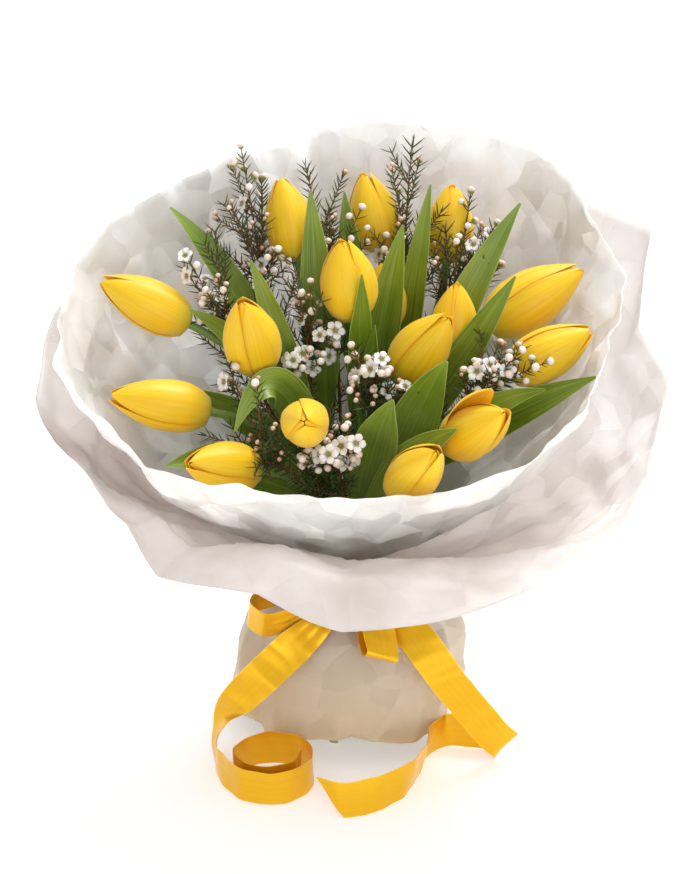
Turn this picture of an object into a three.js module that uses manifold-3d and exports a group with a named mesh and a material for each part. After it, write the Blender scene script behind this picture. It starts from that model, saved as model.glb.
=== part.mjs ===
// A hand-tied bunch of yellow tulips with waxflower, in two sheets of tissue and tied with satin ribbon. It
// stands on its cut stems. Millimetres, +Z up, -Y is the front.
import * as THREE from "three";
import { mergeVertices } from "three/addons/utils/BufferGeometryUtils.js";
import Module from "manifold-3d";

const wasm = await Module();
wasm.setup();

// Driving dimensions
const TIE_HEIGHT = 120; // the stems are tied this far above their cut ends
const STEM_RADIUS = 3.2;
const NECK_RADIUS = 2.7; // a tulip stem just under its bloom
const TWIG_RADIUS = 1.3;
const BRANCH_RADIUS = 0.75;
const LEAF_THICKNESS = 0.8;
const PAPER_THICKNESS = 1;
const RIBBON_WIDTH = 25;
const RIBBON_THICKNESS = 0.8;
const CLEARANCE = 0.3; // between neighbouring pieces

const AXIS = [-2.2, 6.4, 0]; // where the tie's middle stands: the whole bunch is centred on the origin

// The stems are laid in a spiral: each leans in proportion to its distance from the middle of the tie, so
// that the whole bundle turns and widens evenly above and below it. The slots are the azimuths that the heads
// are dealt to.
const TULIP_RINGS = [0, 6.9, 13.4];
const TWIG_RINGS = [8.45, 15.7];
const LEAN = Math.tan(THREE.MathUtils.degToRad(20)) / TULIP_RINGS[2];
const SPIRAL_TURN = 70;
const STRAIGHT_RISE = 26; // the stems stay straight this far above the tie
const BELOW_CUT = -6; // the stems are drawn from here and then cut off level at z = 0

// Each tulip: its ring and slot in the tie, where the bloom sits on the stem, the azimuth it leans to and by
// how much, and the bloom's length and width.
const TULIPS = [
  { name: "01", ring: 0, slot: 0, head: [0, 5, 299], toward: -140, lean: 8, long: 58, wide: 37 },
  { name: "02", ring: 1, slot: 307, head: [31, -12, 263], toward: -30, lean: 34, long: 64, wide: 36 },
  { name: "03", ring: 1, slot: 19, head: [66, 14, 268], toward: 60, lean: 6, long: 50, wide: 31 },
  { name: "04", ring: 1, slot: 91, head: [20, 39, 274], toward: 72, lean: 4, long: 48, wide: 31 },
  { name: "05", ring: 1, slot: 163, head: [-36, 50, 320], toward: 132, lean: 17, long: 57, wide: 33 },
  { name: "06", ring: 1, slot: 235, head: [-60, -30, 279], toward: -115, lean: 21, long: 60, wide: 36 },
  { name: "07", ring: 2, slot: 1, head: [102, -25, 272], toward: -6, lean: 56, long: 62, wide: 34 },
  { name: "08", ring: 2, slot: 37, head: [90, 25, 283], toward: 3, lean: 56, long: 74, wide: 39 },
  { name: "09", ring: 2, slot: 73, head: [64, 80, 306], toward: 70, lean: 12, long: 54, wide: 33 },
  { name: "10", ring: 2, slot: 109, head: [19, 82, 314], toward: 142, lean: 14, long: 55, wide: 34 },
  { name: "11", ring: 2, slot: 145, head: [-106, 5, 294], toward: 180, lean: 61, long: 66, wide: 33 },
  { name: "12", ring: 2, slot: 181, head: [-91, -45, 255], toward: -168, lean: 74, long: 67, wide: 33 },
  { name: "13", ring: 2, slot: 217, head: [-61, -80, 231], toward: -142, lean: 67, long: 57, wide: 33 },
  { name: "14", ring: 2, slot: 253, head: [-29, -78, 263], toward: -90, lean: 62, long: 58, wide: 30 },
  { name: "15", ring: 2, slot: 289, head: [28, -98, 225], toward: -57, lean: 42, long: 66, wide: 31 },
  {
    name: "16", ring: 2, slot: 325, head: [62, -70, 244], toward: -47, lean: 49, long: 64, wide: 34,
    open: 2, // this one of its outer petals has opened
  },
];

// Each tulip leaf: its stem, the height it leaves the stem at, its tip, its greatest width, the azimuth its
// upper face looks to, and how far above the straight line from root to tip the blade bows.
const LEAVES = [
  { stem: "01", from: 215, tip: [6, -18, 339], wide: 20, face: -60, bow: 4 },
  { stem: "02", from: 205, tip: [16, -10, 324], wide: 17, face: -120, bow: 4 },
  { stem: "03", from: 205, tip: [106, -1, 334], wide: 24, face: -100, bow: 0 },
  { stem: "04", from: 205, tip: [33, 22, 357], wide: 24, face: -100, bow: 8 },
  { stem: "05", from: 210, tip: [-27, 34, 376], wide: 25, face: -100, bow: 6 },
  { stem: "06", from: 200, tip: [-65, -8, 345], wide: 20, face: -80, bow: 8 },
  { stem: "07", from: 190, tip: [154, -58, 286], wide: 27, face: -115, bow: 4 },
  { stem: "08", from: 200, tip: [111, 55, 359], wide: 24, face: -90, bow: 10 },
  { stem: "09", from: 215, tip: [46, 62, 372], wide: 18, face: -90, bow: 6 },
  { stem: "10", from: 210, tip: [-5, 70, 361], wide: 22, face: -90, bow: 8 },
  { stem: "11", from: 195, tip: [-119, 40, 362], wide: 22, face: -60, bow: 20 },
  { stem: "11", from: 215, tip: [-105, -12, 312], wide: 17, face: -60, bow: 12 },
  { stem: "12", from: 200, tip: [-80, -66, 262], wide: 20, face: -70, bow: 6 },
  { stem: "13", from: 175, tip: [-82, -122, 241], wide: 30, face: -90, bow: 14 },
  { stem: "14", from: 190, tip: [-74, -75, 256], wide: 24, face: -100, bow: 52 },
  { stem: "15", from: 175, tip: [25, -105, 293], wide: 31, face: -90, bow: 8 },
  { stem: "15", from: 190, tip: [70, -95, 271], wide: 22, face: -90, bow: 8 },
  { stem: "16", from: 185, tip: [59, -75, 305], wide: 32, face: -90, bow: 8 },
  { stem: "16", from: 195, tip: [122, -62, 279], wide: 20, face: -60, bow: 14 },
];

// Each waxflower spray: its ring and slot in the tie, the point where the twig forks, and its branches, each
// with its tip and what it bears at the end.
const SPRAYS = [
  {
    name: "01", ring: 1, slot: 91, fork: [36, 64, 286],
    branches: [
      [41, 95, 389, "needles"], [26, 85, 350, "buds"],
      [59, 66, 348, "needles"], [14, 60, 335, "buds"],
    ],
  },
  {
    name: "02", ring: 0, slot: 55, fork: [62, 47, 266],
    branches: [
      [79, 80, 352, "buds"], [89, 56, 331, "flowers"],
      [62, 62, 338, "needles"], [84, 34, 322, "flowers"],
    ],
  },
  {
    name: "03", ring: 0, slot: 127, fork: [-12, 46, 280],
    branches: [
      [-31, 80, 376, "needles"], [-14, 40, 346, "needles"],
      [-45, 76, 345, "flowers"], [4, 56, 350, "buds"],
    ],
  },
  {
    name: "04", ring: 1, slot: 127, fork: [-58, 46, 288],
    branches: [
      [-72, 62, 390, "buds"], [-83, 45, 362, "needles"],
      [-59, 60, 366, "needles"], [-50, 30, 333, "buds"],
    ],
  },
  {
    name: "05", ring: 1, slot: 163, fork: [-72, 14, 264],
    branches: [
      [-82, -15, 296, "flowers"], [-105, 12, 334, "flowers"],
      [-89, 22, 352, "needles"], [-92, -4, 318, "buds"],
    ],
  },
  {
    name: "06", ring: 0, slot: 199, fork: [-27, -4, 254],
    branches: [
      [-14, -14, 294, "flowers"], [-27, 5, 318, "buds"],
      [-38, 14, 333, "needles"], [-36, -30, 284, "flowers"],
    ],
  },
  {
    name: "07", ring: 1, slot: 235, fork: [-43, -68, 226],
    branches: [
      [-69, -104, 248, "needles"], [-86, -92, 250, "needles"],
      [-52, -92, 254, "needles"], [-78, -50, 290, "flowers"],
    ],
  },
  {
    name: "08", ring: 1, slot: 271, fork: [-8, -70, 222],
    branches: [
      [-14, -100, 252, "flowers"], [-27, -98, 248, "buds"],
      [0, -96, 256, "flowers"], [-14, -72, 270, "needles"],
    ],
  },
  {
    name: "09", ring: 0, slot: 271, fork: [14, -36, 244],
    branches: [
      [18, -48, 288, "flowers"], [2, -44, 296, "buds"],
      [40, -56, 276, "flowers"], [8, -66, 268, "needles"],
    ],
  },
  {
    name: "10", ring: 0, slot: 343, fork: [72, -38, 246],
    branches: [
      [104, -48, 296, "buds"], [86, -46, 284, "flowers"],
      [120, -52, 292, "buds"], [84, -8, 292, "flowers"],
    ],
  },
];

// The corners along the upper edge of each sheet of tissue, and along the hem of its skirt, from the right
// (0) round the back (90): azimuth, radius and height.
const INNER_RIM = [
  [0, 171, 322], [20, 176, 343], [42, 173, 374], [58, 170, 378], [88, 150, 385], [108, 146, 372],
  [126, 142, 369], [146, 152, 358], [166, 172, 342], [182, 190, 316], [205, 190, 284], [225, 176, 260],
  [270, 140, 240], [315, 160, 262], [338, 176, 296],
];
const OUTER_RIM = [
  [0, 205, 256], [10, 194, 278], [21, 216, 330], [38, 196, 338], [60, 186, 346], [90, 168, 352],
  [135, 184, 330], [164, 202, 284], [180, 209, 243], [199, 188, 229], [222, 188, 218], [231, 190, 194],
  [252, 185, 197], [268, 184, 176], [275, 184, 176], [293, 188, 182], [310, 194, 189], [320, 198, 201],
  [330, 202, 217], [347, 207, 230],
];
const OUTER_HEM = [
  [0, 76, 30], [30, 79, 12], [90, 79, 12], [150, 80, 12], [184, 88, 17], [222, 79, 11], [243, 79, 19],
  [270, 79, 24], [303, 79.4, 14], [326, 78.4, 15], [340, 77, 30],
];
const INNER_HEM = [[0, 64, 40]];

// How far out and how high each sheet is in the tie, and at the folds of its skirt above the hem
const INNER_WAIST = 20.6;
const OUTER_WAIST = 22.4;
const INNER_SKIRT = [[INNER_WAIST, 106], [38, 93], [58, 74]];
const OUTER_SKIRT = [[OUTER_WAIST, 112], [46, 102], [67, 84]];

const rad = THREE.MathUtils.degToRad;
const vec = (p) => new THREE.Vector3(p[0], p[1], p[2]);
const UP = new THREE.Vector3(0, 0, 1);

// A unit vector at an azimuth and at an angle from the vertical.
function heading(azimuth, fromVertical) {
  const flat = Math.sin(rad(fromVertical));
  return new THREE.Vector3(
    flat * Math.cos(rad(azimuth)),
    flat * Math.sin(rad(azimuth)),
    Math.cos(rad(fromVertical)),
  );
}

// A closed mesh as a solid, turned to face out.
function solidOf(geometry) {
  const merged = mergeVertices(geometry, 1e-4);
  const triVerts = new Uint32Array(merged.index.array);
  const mesh = (faces) => new wasm.Mesh({
    numProp: 3,
    vertProperties: merged.attributes.position.array,
    triVerts: faces,
  });
  const solid = new wasm.Manifold(mesh(triVerts));
  return solid.volume() < 0 ? new wasm.Manifold(mesh(triVerts.toReversed())) : solid;
}

// Only the places of a three.js shape, so that its seams can be merged.
function bare(geometry) {
  geometry.deleteAttribute("normal");
  geometry.deleteAttribute("uv");
  return geometry;
}

function geometryFrom(points, faces) {
  const geometry = new THREE.BufferGeometry();
  const places = points.flatMap((p) => [p.x, p.y, p.z]);
  geometry.setAttribute("position", new THREE.Float32BufferAttribute(places, 3));
  geometry.setIndex(faces);
  return geometry;
}

// Skins rings of points that all run the same way round. A ring of one point is a tip, and a ring may have
// twice the points of the one before it.
function loft(rings) {
  const faces = [];
  const start = [];
  const points = [];
  for (const ring of rings) {
    start.push(points.length);
    points.push(...ring);
  }
  for (let i = 0; i + 1 < rings.length; i++) {
    const n = Math.max(rings[i].length, rings[i + 1].length);
    if (rings[i].length > 1 && n === 2 * rings[i].length) {
      for (let j = 0; j < n; j += 2) {
        const [a, b] = [start[i] + j / 2, start[i] + ((j / 2 + 1) % (n / 2))];
        const [c, d, e] = [start[i + 1] + ((j + 2) % n), start[i + 1] + j + 1, start[i + 1] + j];
        faces.push(a, b, d, a, d, e, b, c, d);
      }
      continue;
    }
    for (let j = 0; j < n; j++) {
      const k = (j + 1) % n;
      const [here, next] = [start[i], start[i + 1]];
      const [a, b] = rings[i].length > 1 ? [here + j, here + k] : [here, here];
      const [c, d] = rings[i + 1].length > 1 ? [next + k, next + j] : [next, next];
      if (a !== b) faces.push(a, b, c);
      if (c !== d) faces.push(a, c, d);
    }
  }
  const last = start[rings.length - 1];
  for (let j = 1; j + 1 < rings[0].length; j++) faces.push(0, j + 1, j);
  for (let j = 1; j + 1 < rings[rings.length - 1].length; j++) faces.push(last, last + j, last + j + 1);
  return solidOf(geometryFrom(points, faces));
}

// A blade of even thickness over a grid of middle points. Both faces are split alike, so it keeps its
// thickness.
function blade(grid, thickness, round = false) {
  const rows = grid.length;
  const cols = grid[0].length;
  const at = (i, j) => {
    const row = grid[Math.min(Math.max(i, 0), rows - 1)];
    return round ? row[(j + cols) % cols] : row[Math.min(Math.max(j, 0), cols - 1)];
  };
  const front = [];
  const back = [];
  for (let i = 0; i < rows; i++) {
    for (let j = 0; j < cols; j++) {
      const along = at(i + 1, j).clone().sub(at(i - 1, j));
      const across = at(i, j + 1).clone().sub(at(i, j - 1));
      const normal = along.cross(across).setLength(thickness / 2);
      front.push(at(i, j).clone().add(normal));
      back.push(at(i, j).clone().sub(normal));
    }
  }
  const faces = [];
  const behind = rows * cols;
  const quad = (a, b, c, d) => faces.push(a, b, c, a, c, d);
  const spans = round ? cols : cols - 1;
  for (let i = 0; i + 1 < rows; i++) {
    for (let j = 0; j < spans; j++) {
      const a = i * cols + j;
      const d = i * cols + ((j + 1) % cols);
      quad(a, a + cols, d + cols, d);
      faces.push(behind + a, behind + d + cols, behind + a + cols, behind + a, behind + d, behind + d + cols);
    }
  }
  for (let j = 0; j < spans; j++) {
    const k = (j + 1) % cols;
    const end = (rows - 1) * cols;
    quad(j, k, behind + k, behind + j);
    quad(end + k, end + j, behind + end + j, behind + end + k);
  }
  for (let i = 0; i + 1 < rows && !round; i++) {
    const a = i * cols;
    const b = a + cols;
    quad(b, a, behind + a, behind + b);
    quad(a + cols - 1, b + cols - 1, behind + b + cols - 1, behind + a + cols - 1);
  }
  return solidOf(geometryFrom([...front, ...back], faces));
}

// A round rod of few sides along points, with a radius at each of them. Its last face can be set square to
// `end`.
function rod(points, radii, sides, end) {
  let side = new THREE.Vector3(1, 0.2, 0.1);
  const rings = points.map((p, i) => {
    const before = points[Math.max(i - 1, 0)];
    const after = points[Math.min(i + 1, points.length - 1)];
    const last = i === points.length - 1;
    const along = last && end ? end.clone() : after.clone().sub(before).normalize();
    side = side.clone().addScaledVector(along, -side.dot(along)).normalize();
    const other = along.clone().cross(side);
    return Array.from({ length: sides }, (_, k) => {
      const turn = (k * 2 * Math.PI) / sides;
      const [out, over] = [radii[i] * Math.cos(turn), radii[i] * Math.sin(turn)];
      return p.clone().addScaledVector(side, out).addScaledVector(other, over);
    });
  });
  return loft(rings);
}

// Where a stem of the bundle is, straight through the tie.
function inBundle(radius, slot, z) {
  const place = new THREE.Vector3(radius, 0, 0).applyAxisAngle(UP, rad(slot - SPIRAL_TURN));
  const sideways = UP.clone().cross(place).multiplyScalar(LEAN * (z - TIE_HEIGHT));
  return place.add(sideways).setZ(z);
}

// The middle line of a stem: straight through the tie, then curving to its head, where it runs along `end`.
function stemLine(radius, slot, head, end, steps) {
  const low = inBundle(radius, slot, BELOW_CUT);
  const high = inBundle(radius, slot, TIE_HEIGHT + STRAIGHT_RISE);
  const start = high.clone().sub(low).normalize();
  const reach = high.distanceTo(head);
  const bend = new THREE.CubicBezierCurve3(
    high,
    high.clone().addScaledVector(start, reach * 0.36),
    head.clone().addScaledVector(end, -reach * 0.36),
    head,
  );
  return [low, ...bend.getPoints(steps)];
}

// Whether every edge lies between just two faces once equal places are merged.
function isSound(solid) {
  const mesh = solid.getMesh();
  const ids = new Map();
  const places = [];
  for (let i = 0; i < mesh.numVert; i++) {
    const at = mesh.vertProperties.subarray(i * mesh.numProp, i * mesh.numProp + 3);
    const key = Array.from(at, (value) => Math.round(value * 1000)).join();
    if (!ids.has(key)) ids.set(key, ids.size);
    places.push(ids.get(key));
  }
  const edges = new Map();
  for (let i = 0; i < mesh.triVerts.length; i += 3) {
    const corners = [0, 1, 2].map((k) => places[mesh.triVerts[i + k]]);
    if (new Set(corners).size < 3) continue;
    for (let k = 0; k < 3; k++) {
      const [a, b] = [corners[k], corners[(k + 1) % 3]];
      const key = a < b ? `${a} ${b}` : `${b} ${a}`;
      edges.set(key, (edges.get(key) ?? 0) + 1);
    }
  }
  return [...edges.values()].every((count) => count === 2);
}

// Parts joined into one body, with slivers smaller than a tolerance smoothed away: the largest tolerance that
// leaves it sound.
function joined(parts, tolerances) {
  const whole = wasm.Manifold.union(parts).asOriginal();
  for (const tolerance of tolerances) {
    const solid = whole.simplify(tolerance);
    if (isSound(solid) && solid.decompose().length === 1) return solid;
  }
  return whole;
}

const cutLevel = (solid) => solid.trimByPlane([0, 0, 1], 0);

// Tulip stems
const STEM_STEPS = 6;
const stems = new Map();
for (const tulip of TULIPS) {
  const axis = heading(tulip.toward, tulip.lean);
  const top = vec(tulip.head).addScaledVector(axis, -CLEARANCE);
  const line = stemLine(TULIP_RINGS[tulip.ring], tulip.slot, top, axis, STEM_STEPS);
  const taper = (i) => THREE.MathUtils.lerp(STEM_RADIUS, NECK_RADIUS, (i - 1) / STEM_STEPS);
  const radii = line.map((p, i) => (i < 2 ? STEM_RADIUS : taper(i)));
  stems.set(tulip.name, { line, solid: cutLevel(rod(line, radii, 6, axis)) });
}

// Tulip blooms: three outer and three inner petals round a closed bud. Each petal is a lobe whose inner
// corner lies across the bud's axis, so that the lobes join. An opened petal bends out from halfway.
const BUD_OUTLINE = [[0, 0.3], [0.07, 0.62], [0.2, 0.9], [0.4, 1], [0.62, 0.9], [0.84, 0.52]];
const OUTER_SPREAD = [62, 62, 60, 58, 50, 36];
const INNER_SPREAD = [50, 50, 50, 48, 46, 34];

function petal(turn, long, radius, inner, open) {
  const rings = BUD_OUTLINE.map(([t, r], i) => {
    const spread = (inner ? INNER_SPREAD : OUTER_SPREAD)[i];
    const out = radius * r * (inner ? 0.92 : 1) + (open ? radius * 1.5 * Math.max(t - 0.4, 0) : 0);
    const angles = inner ? [-spread, 0, spread] : [-spread, -spread / 3, spread / 3, spread];
    const edge = angles.map((angle) => {
      const shrink = 1 - 0.05 * Math.abs(angle / spread);
      return new THREE.Vector3(out * shrink, 0, long * t).applyAxisAngle(UP, rad(turn + angle));
    });
    const inside = open && t > 0.5 ? out * Math.cos(rad(spread)) - 1.2 : -1.2;
    edge.push(new THREE.Vector3(inside, 0, long * t).applyAxisAngle(UP, rad(turn)));
    return edge;
  });
  const tip = radius * (open ? 1.5 : inner ? 0.08 : 0.22);
  const reach = long * (inner ? 1 : open ? 0.86 : 0.96);
  rings.push([new THREE.Vector3(tip, 0, reach).applyAxisAngle(UP, rad(turn))]);
  return loft(rings);
}

function bloom(tulip, number) {
  const lobes = [];
  for (let k = 0; k < 3; k++) {
    const turn = 120 * k + 40 * number;
    lobes.push(petal(turn, tulip.long, tulip.wide / 2, false, tulip.open === k));
    lobes.push(petal(turn + 60, tulip.long, tulip.wide / 2, true, false));
  }
  const axis = heading(tulip.toward, tulip.lean);
  const tilt = new THREE.Quaternion().setFromUnitVectors(UP, axis);
  const stand = new THREE.Matrix4().makeRotationFromQuaternion(tilt);
  stand.setPosition(vec(tulip.head));
  return joined(lobes, [0.45, 0.4, 0.35, 0.3, 0.2, 0.1]).transform(stand.toArray());
}

const blooms = new Map(TULIPS.map((tulip, i) => [tulip.name, bloom(tulip, i)]));

// Tissue: each sheet is gathered in the tie and flares above it as a collar and below it as a skirt. Its
// pleats are flat in the tie and grow towards the edges, which run evenly from corner to corner.
const PLEATS = 11;
const PLEAT_POINTS = 3;
const COLLAR_PLEAT = 4; // how far a pleat stands out at the collar's edge
const PLEAT_DROP = 0.6; // how far it hangs there, as a share of how far it stands out
const SKIRT_PLEAT = 5; // how far a pleat stands out once the skirt is SKIRT_REACH from the waist
const SKIRT_REACH = 60;
const COLLAR_FOOT = 5; // the collar's lowest row is this far above the tie

function around(table, azimuth) {
  const n = table.length;
  for (let i = 0; i < n; i++) {
    const here = table[i];
    const next = i + 1 < n ? table[i + 1] : [table[0][0] + 360, table[0][1], table[0][2]];
    if (azimuth >= here[0] && azimuth < next[0]) {
      const t = (azimuth - here[0]) / (next[0] - here[0]);
      return [THREE.MathUtils.lerp(here[1], next[1], t), THREE.MathUtils.lerp(here[2], next[2], t)];
    }
  }
  return [table[0][1], table[0][2]];
}

function pleat(azimuth) {
  const wave = Math.cos(rad(azimuth * PLEATS));
  return wave * (0.75 + 0.35 * Math.sin(rad(azimuth * 2 + 40)) * Math.cos(rad(azimuth * 5)));
}

// The collar's slope: how far out and how far up the tissue has come at each row, as shares of the whole way,
// and how much higher the outer sheet stands at the front, where it rolls over before its edge hangs down.
const COLLAR_ROWS = [
  [0, 0, 0], [0.02, 0.05, 0], [0.16, 0.14, 6], [0.38, 0.3, 21], [0.64, 0.5, 37], [0.86, 0.74, 32], [1, 1, 0],
];
const ROLL_NARROWING = 1.2; // the roll fades out 75 degrees to either side of the front

function frontShare(azimuth) {
  const away = Math.min(Math.abs(azimuth - 270), 360 - Math.abs(azimuth - 270)) * ROLL_NARROWING;
  return away < 90 ? Math.cos(rad(away)) : 0;
}

function tissue(rim, waist, skirt, hem, rolled) {
  const columns = PLEATS * PLEAT_POINTS;
  const azimuths = Array.from({ length: columns }, (_, k) => (360 * k) / columns);
  const spot = (azimuth, r, z) => new THREE.Vector3(r, 0, z).applyAxisAngle(UP, rad(azimuth));
  const skirtRow = (reach) => azimuths.map((azimuth) => {
    const [out, z] = reach(azimuth);
    const wave = (SKIRT_PLEAT * pleat(azimuth) * (out - waist)) / SKIRT_REACH;
    return spot(azimuth, out + wave, z);
  });
  const collarRow = (out, up, roll) => azimuths.map((azimuth) => {
    const [radius, height] = around(rim, azimuth);
    const wave = COLLAR_PLEAT * out * pleat(azimuth);
    const slope = THREE.MathUtils.lerp(TIE_HEIGHT + COLLAR_FOOT, height, up);
    const z = slope + (rolled ? roll * frontShare(azimuth) : 0);
    return spot(azimuth, THREE.MathUtils.lerp(waist, radius, out) + wave, z - wave * PLEAT_DROP);
  });
  const grid = [
    skirtRow((azimuth) => around(hem, azimuth)),
    ...skirt.toReversed().map((row) => skirtRow(() => row)),
    ...COLLAR_ROWS.map(([out, up, roll]) => collarRow(out, up, roll)),
  ];
  return blade(grid, PAPER_THICKNESS, true);
}

const wrapInner = tissue(INNER_RIM, INNER_WAIST, INNER_SKIRT, INNER_HEM, false);
const wrapOuter = tissue(OUTER_RIM, OUTER_WAIST, OUTER_SKIRT, OUTER_HEM, true);

// Twine round the stems, under the tissue
function ring(inside, outside, low, high, sides) {
  const circle = (radius, z) => Array.from({ length: sides }, (_, k) => {
    const turn = (k * 2 * Math.PI) / sides;
    return new THREE.Vector3(radius * Math.cos(turn), radius * Math.sin(turn), z);
  });
  return loft([circle(outside, low), circle(outside, high)])
    .subtract(loft([circle(inside, low - 1), circle(inside, high + 1)]));
}

const twine = ring(17.6, 19.6, TIE_HEIGHT - 2, TIE_HEIGHT + 2, 18);

// Ribbon: a band drawn in round the tissue, with its knot at the front; two loops and two tails from the
// knot. Each row is a point of the strip's middle line, the direction across the strip, and its width there:
// at the knot the ribbon is gathered.
const LOOP_LEFT = [
  [[-8.4, -28, 120.5], [0, -0.5, 1], 6],
  [[-24, -38, 122], [0, -0.45, 1], 14],
  [[-46, -45, 119], [0, -0.4, 1], 22],
  [[-64, -46, 114], [0.1, -0.3, 1], 24],
  [[-69, -50, 108], [0.1, -0.3, 1], 24],
  [[-60, -58, 104], [0, -0.3, 1], 24],
  [[-38, -55, 108], [0, -0.4, 1], 18],
  [[-20, -42, 114], [0, -0.5, 1], 10],
  [[-8.6, -30, 115.5], [0, -0.6, 1], 6],
];
const LOOP_RIGHT = [
  [[3, -32, 120], [1, 0, 0], 8],
  [[9, -46, 118], [1, 0.1, 0], 16],
  [[15, -62, 112], [1, 0.15, 0.1], 23],
  [[19, -76, 101], [1, 0.2, 0.1], 25],
  [[20, -82, 92], [1, 0.2, 0.1], 25],
  [[18, -77, 88], [1, 0.2, 0.1], 25],
  [[13, -62, 98], [1, 0.15, 0], 21],
  [[7, -46, 108], [1, 0.1, 0], 14],
  [[3, -32, 116], [1, 0, 0], 8],
];
const TAIL_LEFT = [
  [[-3, -30.6, 113.4], [0.9, -0.3, 0], 8],
  [[-20, -52, 103], [0.8, -0.3, -0.3], 18],
  [[-40, -65, 89], [0.75, -0.28, -0.5], RIBBON_WIDTH],
  [[-60, -70, 70], [0.75, -0.28, -0.5], RIBBON_WIDTH],
  [[-77, -66, 48], [0.85, -0.4, -0.2], RIBBON_WIDTH],
  [[-88, -62, 28], [0.5, -0.6, 0.5], RIBBON_WIDTH],
  [[-92, -76, 15.5], [0.1, -0.3, 1], RIBBON_WIDTH],
  [[-86, -96, 13.2], [0, 0, 1], RIBBON_WIDTH],
  [[-72, -113, 13.2], [0, 0, 1], RIBBON_WIDTH],
  [[-52, -118, 13.2], [0, 0, 1], RIBBON_WIDTH],
  [[-34, -110, 13.2], [0, 0, 1], RIBBON_WIDTH],
  [[-26, -92, 13.2], [0, 0, 1], RIBBON_WIDTH],
  [[-36, -75, 13.2], [0, 0, 1], RIBBON_WIDTH],
  [[-56, -70, 13.2], [0, 0, 1], RIBBON_WIDTH],
  [[-72, -78, 13.2], [0, 0, 1], RIBBON_WIDTH],
  [[-79, -93, 13.2], [0, 0, 1], RIBBON_WIDTH],
];
const TAIL_RIGHT = [
  [[9, -31, 113], [0.8, 0.3, 0.4], 8],
  [[24, -44, 108], [0.8, 0.2, 0.5], 18],
  [[44, -62, 94], [0.85, 0.1, 0.55], RIBBON_WIDTH],
  [[62, -70, 70], [0.85, 0, 0.55], RIBBON_WIDTH],
  [[82, -70, 42], [0.85, 0, 0.55], RIBBON_WIDTH],
  [[98, -68, 20], [0.75, 0, 0.65], RIBBON_WIDTH],
  [[105, -65, 11.5], [0.6, 0, 0.8], RIBBON_WIDTH],
  [[101, -60, 12.5], [0.2, 0, 1], RIBBON_WIDTH],
  [[84, -52, 13.2], [0, 0, 1], RIBBON_WIDTH],
  [[64, -50, 13.2], [0, 0.1, 1], RIBBON_WIDTH],
  [[53, -62, 13.2], [0.1, 0, 1], RIBBON_WIDTH],
  [[48, -84, 13.2], [0.2, 0, 1], RIBBON_WIDTH],
  [[36, -108, 13.2], [0.1, 0.1, 1], RIBBON_WIDTH],
  [[16, -124, 13.2], [0, 0.2, 1], RIBBON_WIDTH],
  [[-6, -131, 13.2], [0, 0.2, 1], RIBBON_WIDTH],
  [[-24, -124, 13.2], [0, 0.1, 1], RIBBON_WIDTH],
];

const KNOT = [0, -27.5, 118];
const KNOT_SIZE = [9, 5.2, 6.5];

function strip(rows) {
  const grid = rows.map(([place, across, width]) => {
    const half = vec(across).setLength(width / 2);
    return [vec(place).sub(half), vec(place).add(half)];
  });
  return blade(grid, RIBBON_THICKNESS);
}

const knot = solidOf(bare(new THREE.IcosahedronGeometry(1, 0))).scale(KNOT_SIZE).translate(KNOT);
const ribbonBand = ring(23.5, 24.5, 114, 124, PLEATS * PLEAT_POINTS).add(knot);

// What is already in place, by owner, so that each leaf and sprig can be bent clear of the others.
const placed = [];

function place(owner, solid) {
  placed.push({ owner, solid, box: solid.boundingBox() });
}

function isClear(owner, solid) {
  const box = solid.boundingBox();
  return placed.every((other) => {
    if (other.owner === owner) return true;
    for (let i = 0; i < 3; i++) {
      if (box.min[i] > other.box.max[i] + CLEARANCE || box.max[i] < other.box.min[i] - CLEARANCE) return true;
    }
    return solid.minGap(other.solid, 2 * CLEARANCE) >= CLEARANCE;
  });
}

const ribbon = {
  ribbon_band: ribbonBand,
  ribbon_loop_left: strip(LOOP_LEFT),
  ribbon_loop_right: strip(LOOP_RIGHT),
  ribbon_tail_left: strip(TAIL_LEFT),
  ribbon_tail_right: strip(TAIL_RIGHT),
};
place("wrap_inner", wrapInner);
place("wrap_outer", wrapOuter);
place("binding_twine", twine);
for (const [name, solid] of Object.entries(ribbon)) place(name, solid);
for (const [name, solid] of blooms) place(`bloom ${name}`, solid);
for (const [name, stem] of stems) place(`stem ${name}`, stem.solid);

// Twigs of the sprays, before the leaves, so that the leaves are bent clear of them
for (const spray of SPRAYS) {
  spray.at = vec(spray.fork);
  spray.end = new THREE.Vector3();
  for (const tip of spray.branches) spray.end.add(vec(tip).sub(spray.at).normalize());
  spray.end.normalize();
  spray.line = stemLine(TWIG_RINGS[spray.ring], spray.slot, spray.at, spray.end, 5);
  spray.solid = cutLevel(rod(spray.line, spray.line.map(() => TWIG_RADIUS), 4, spray.end));
  place(`spray ${spray.name}`, spray.solid);
}

// The first pose of a part that is clear of everything else: as drawn, then swung to either side about the
// vertical through its root, then smaller.
const SWINGS = [0, 7, -7, 14, -14, 21, -21, 28, -28, 36, -36, 45, -45, 55, -55];
const SIZES = [1, 0.9, 0.8, 0.7, 0.6];

function firstClear(owner, make) {
  for (const size of SIZES) {
    for (const swing of SWINGS) {
      const made = make(swing, size);
      if (isClear(owner, made.solid)) return made;
    }
  }
  return null;
}

const swung = (point, root, swing, size) =>
  vec(point).sub(root).multiplyScalar(size).applyAxisAngle(UP, rad(swing)).add(root);

// Tulip leaves: long blades folded a little along the midrib
const LEAF_OUTLINE = [0.3, 0.7, 0.97, 0.98, 0.8, 0.48, 0.06];
const LEAF_FOLD = 0.14; // how deep the midrib lies, as a share of the width
const FACE_TILT = 60; // how far from the vertical a leaf's upper face looks

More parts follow.
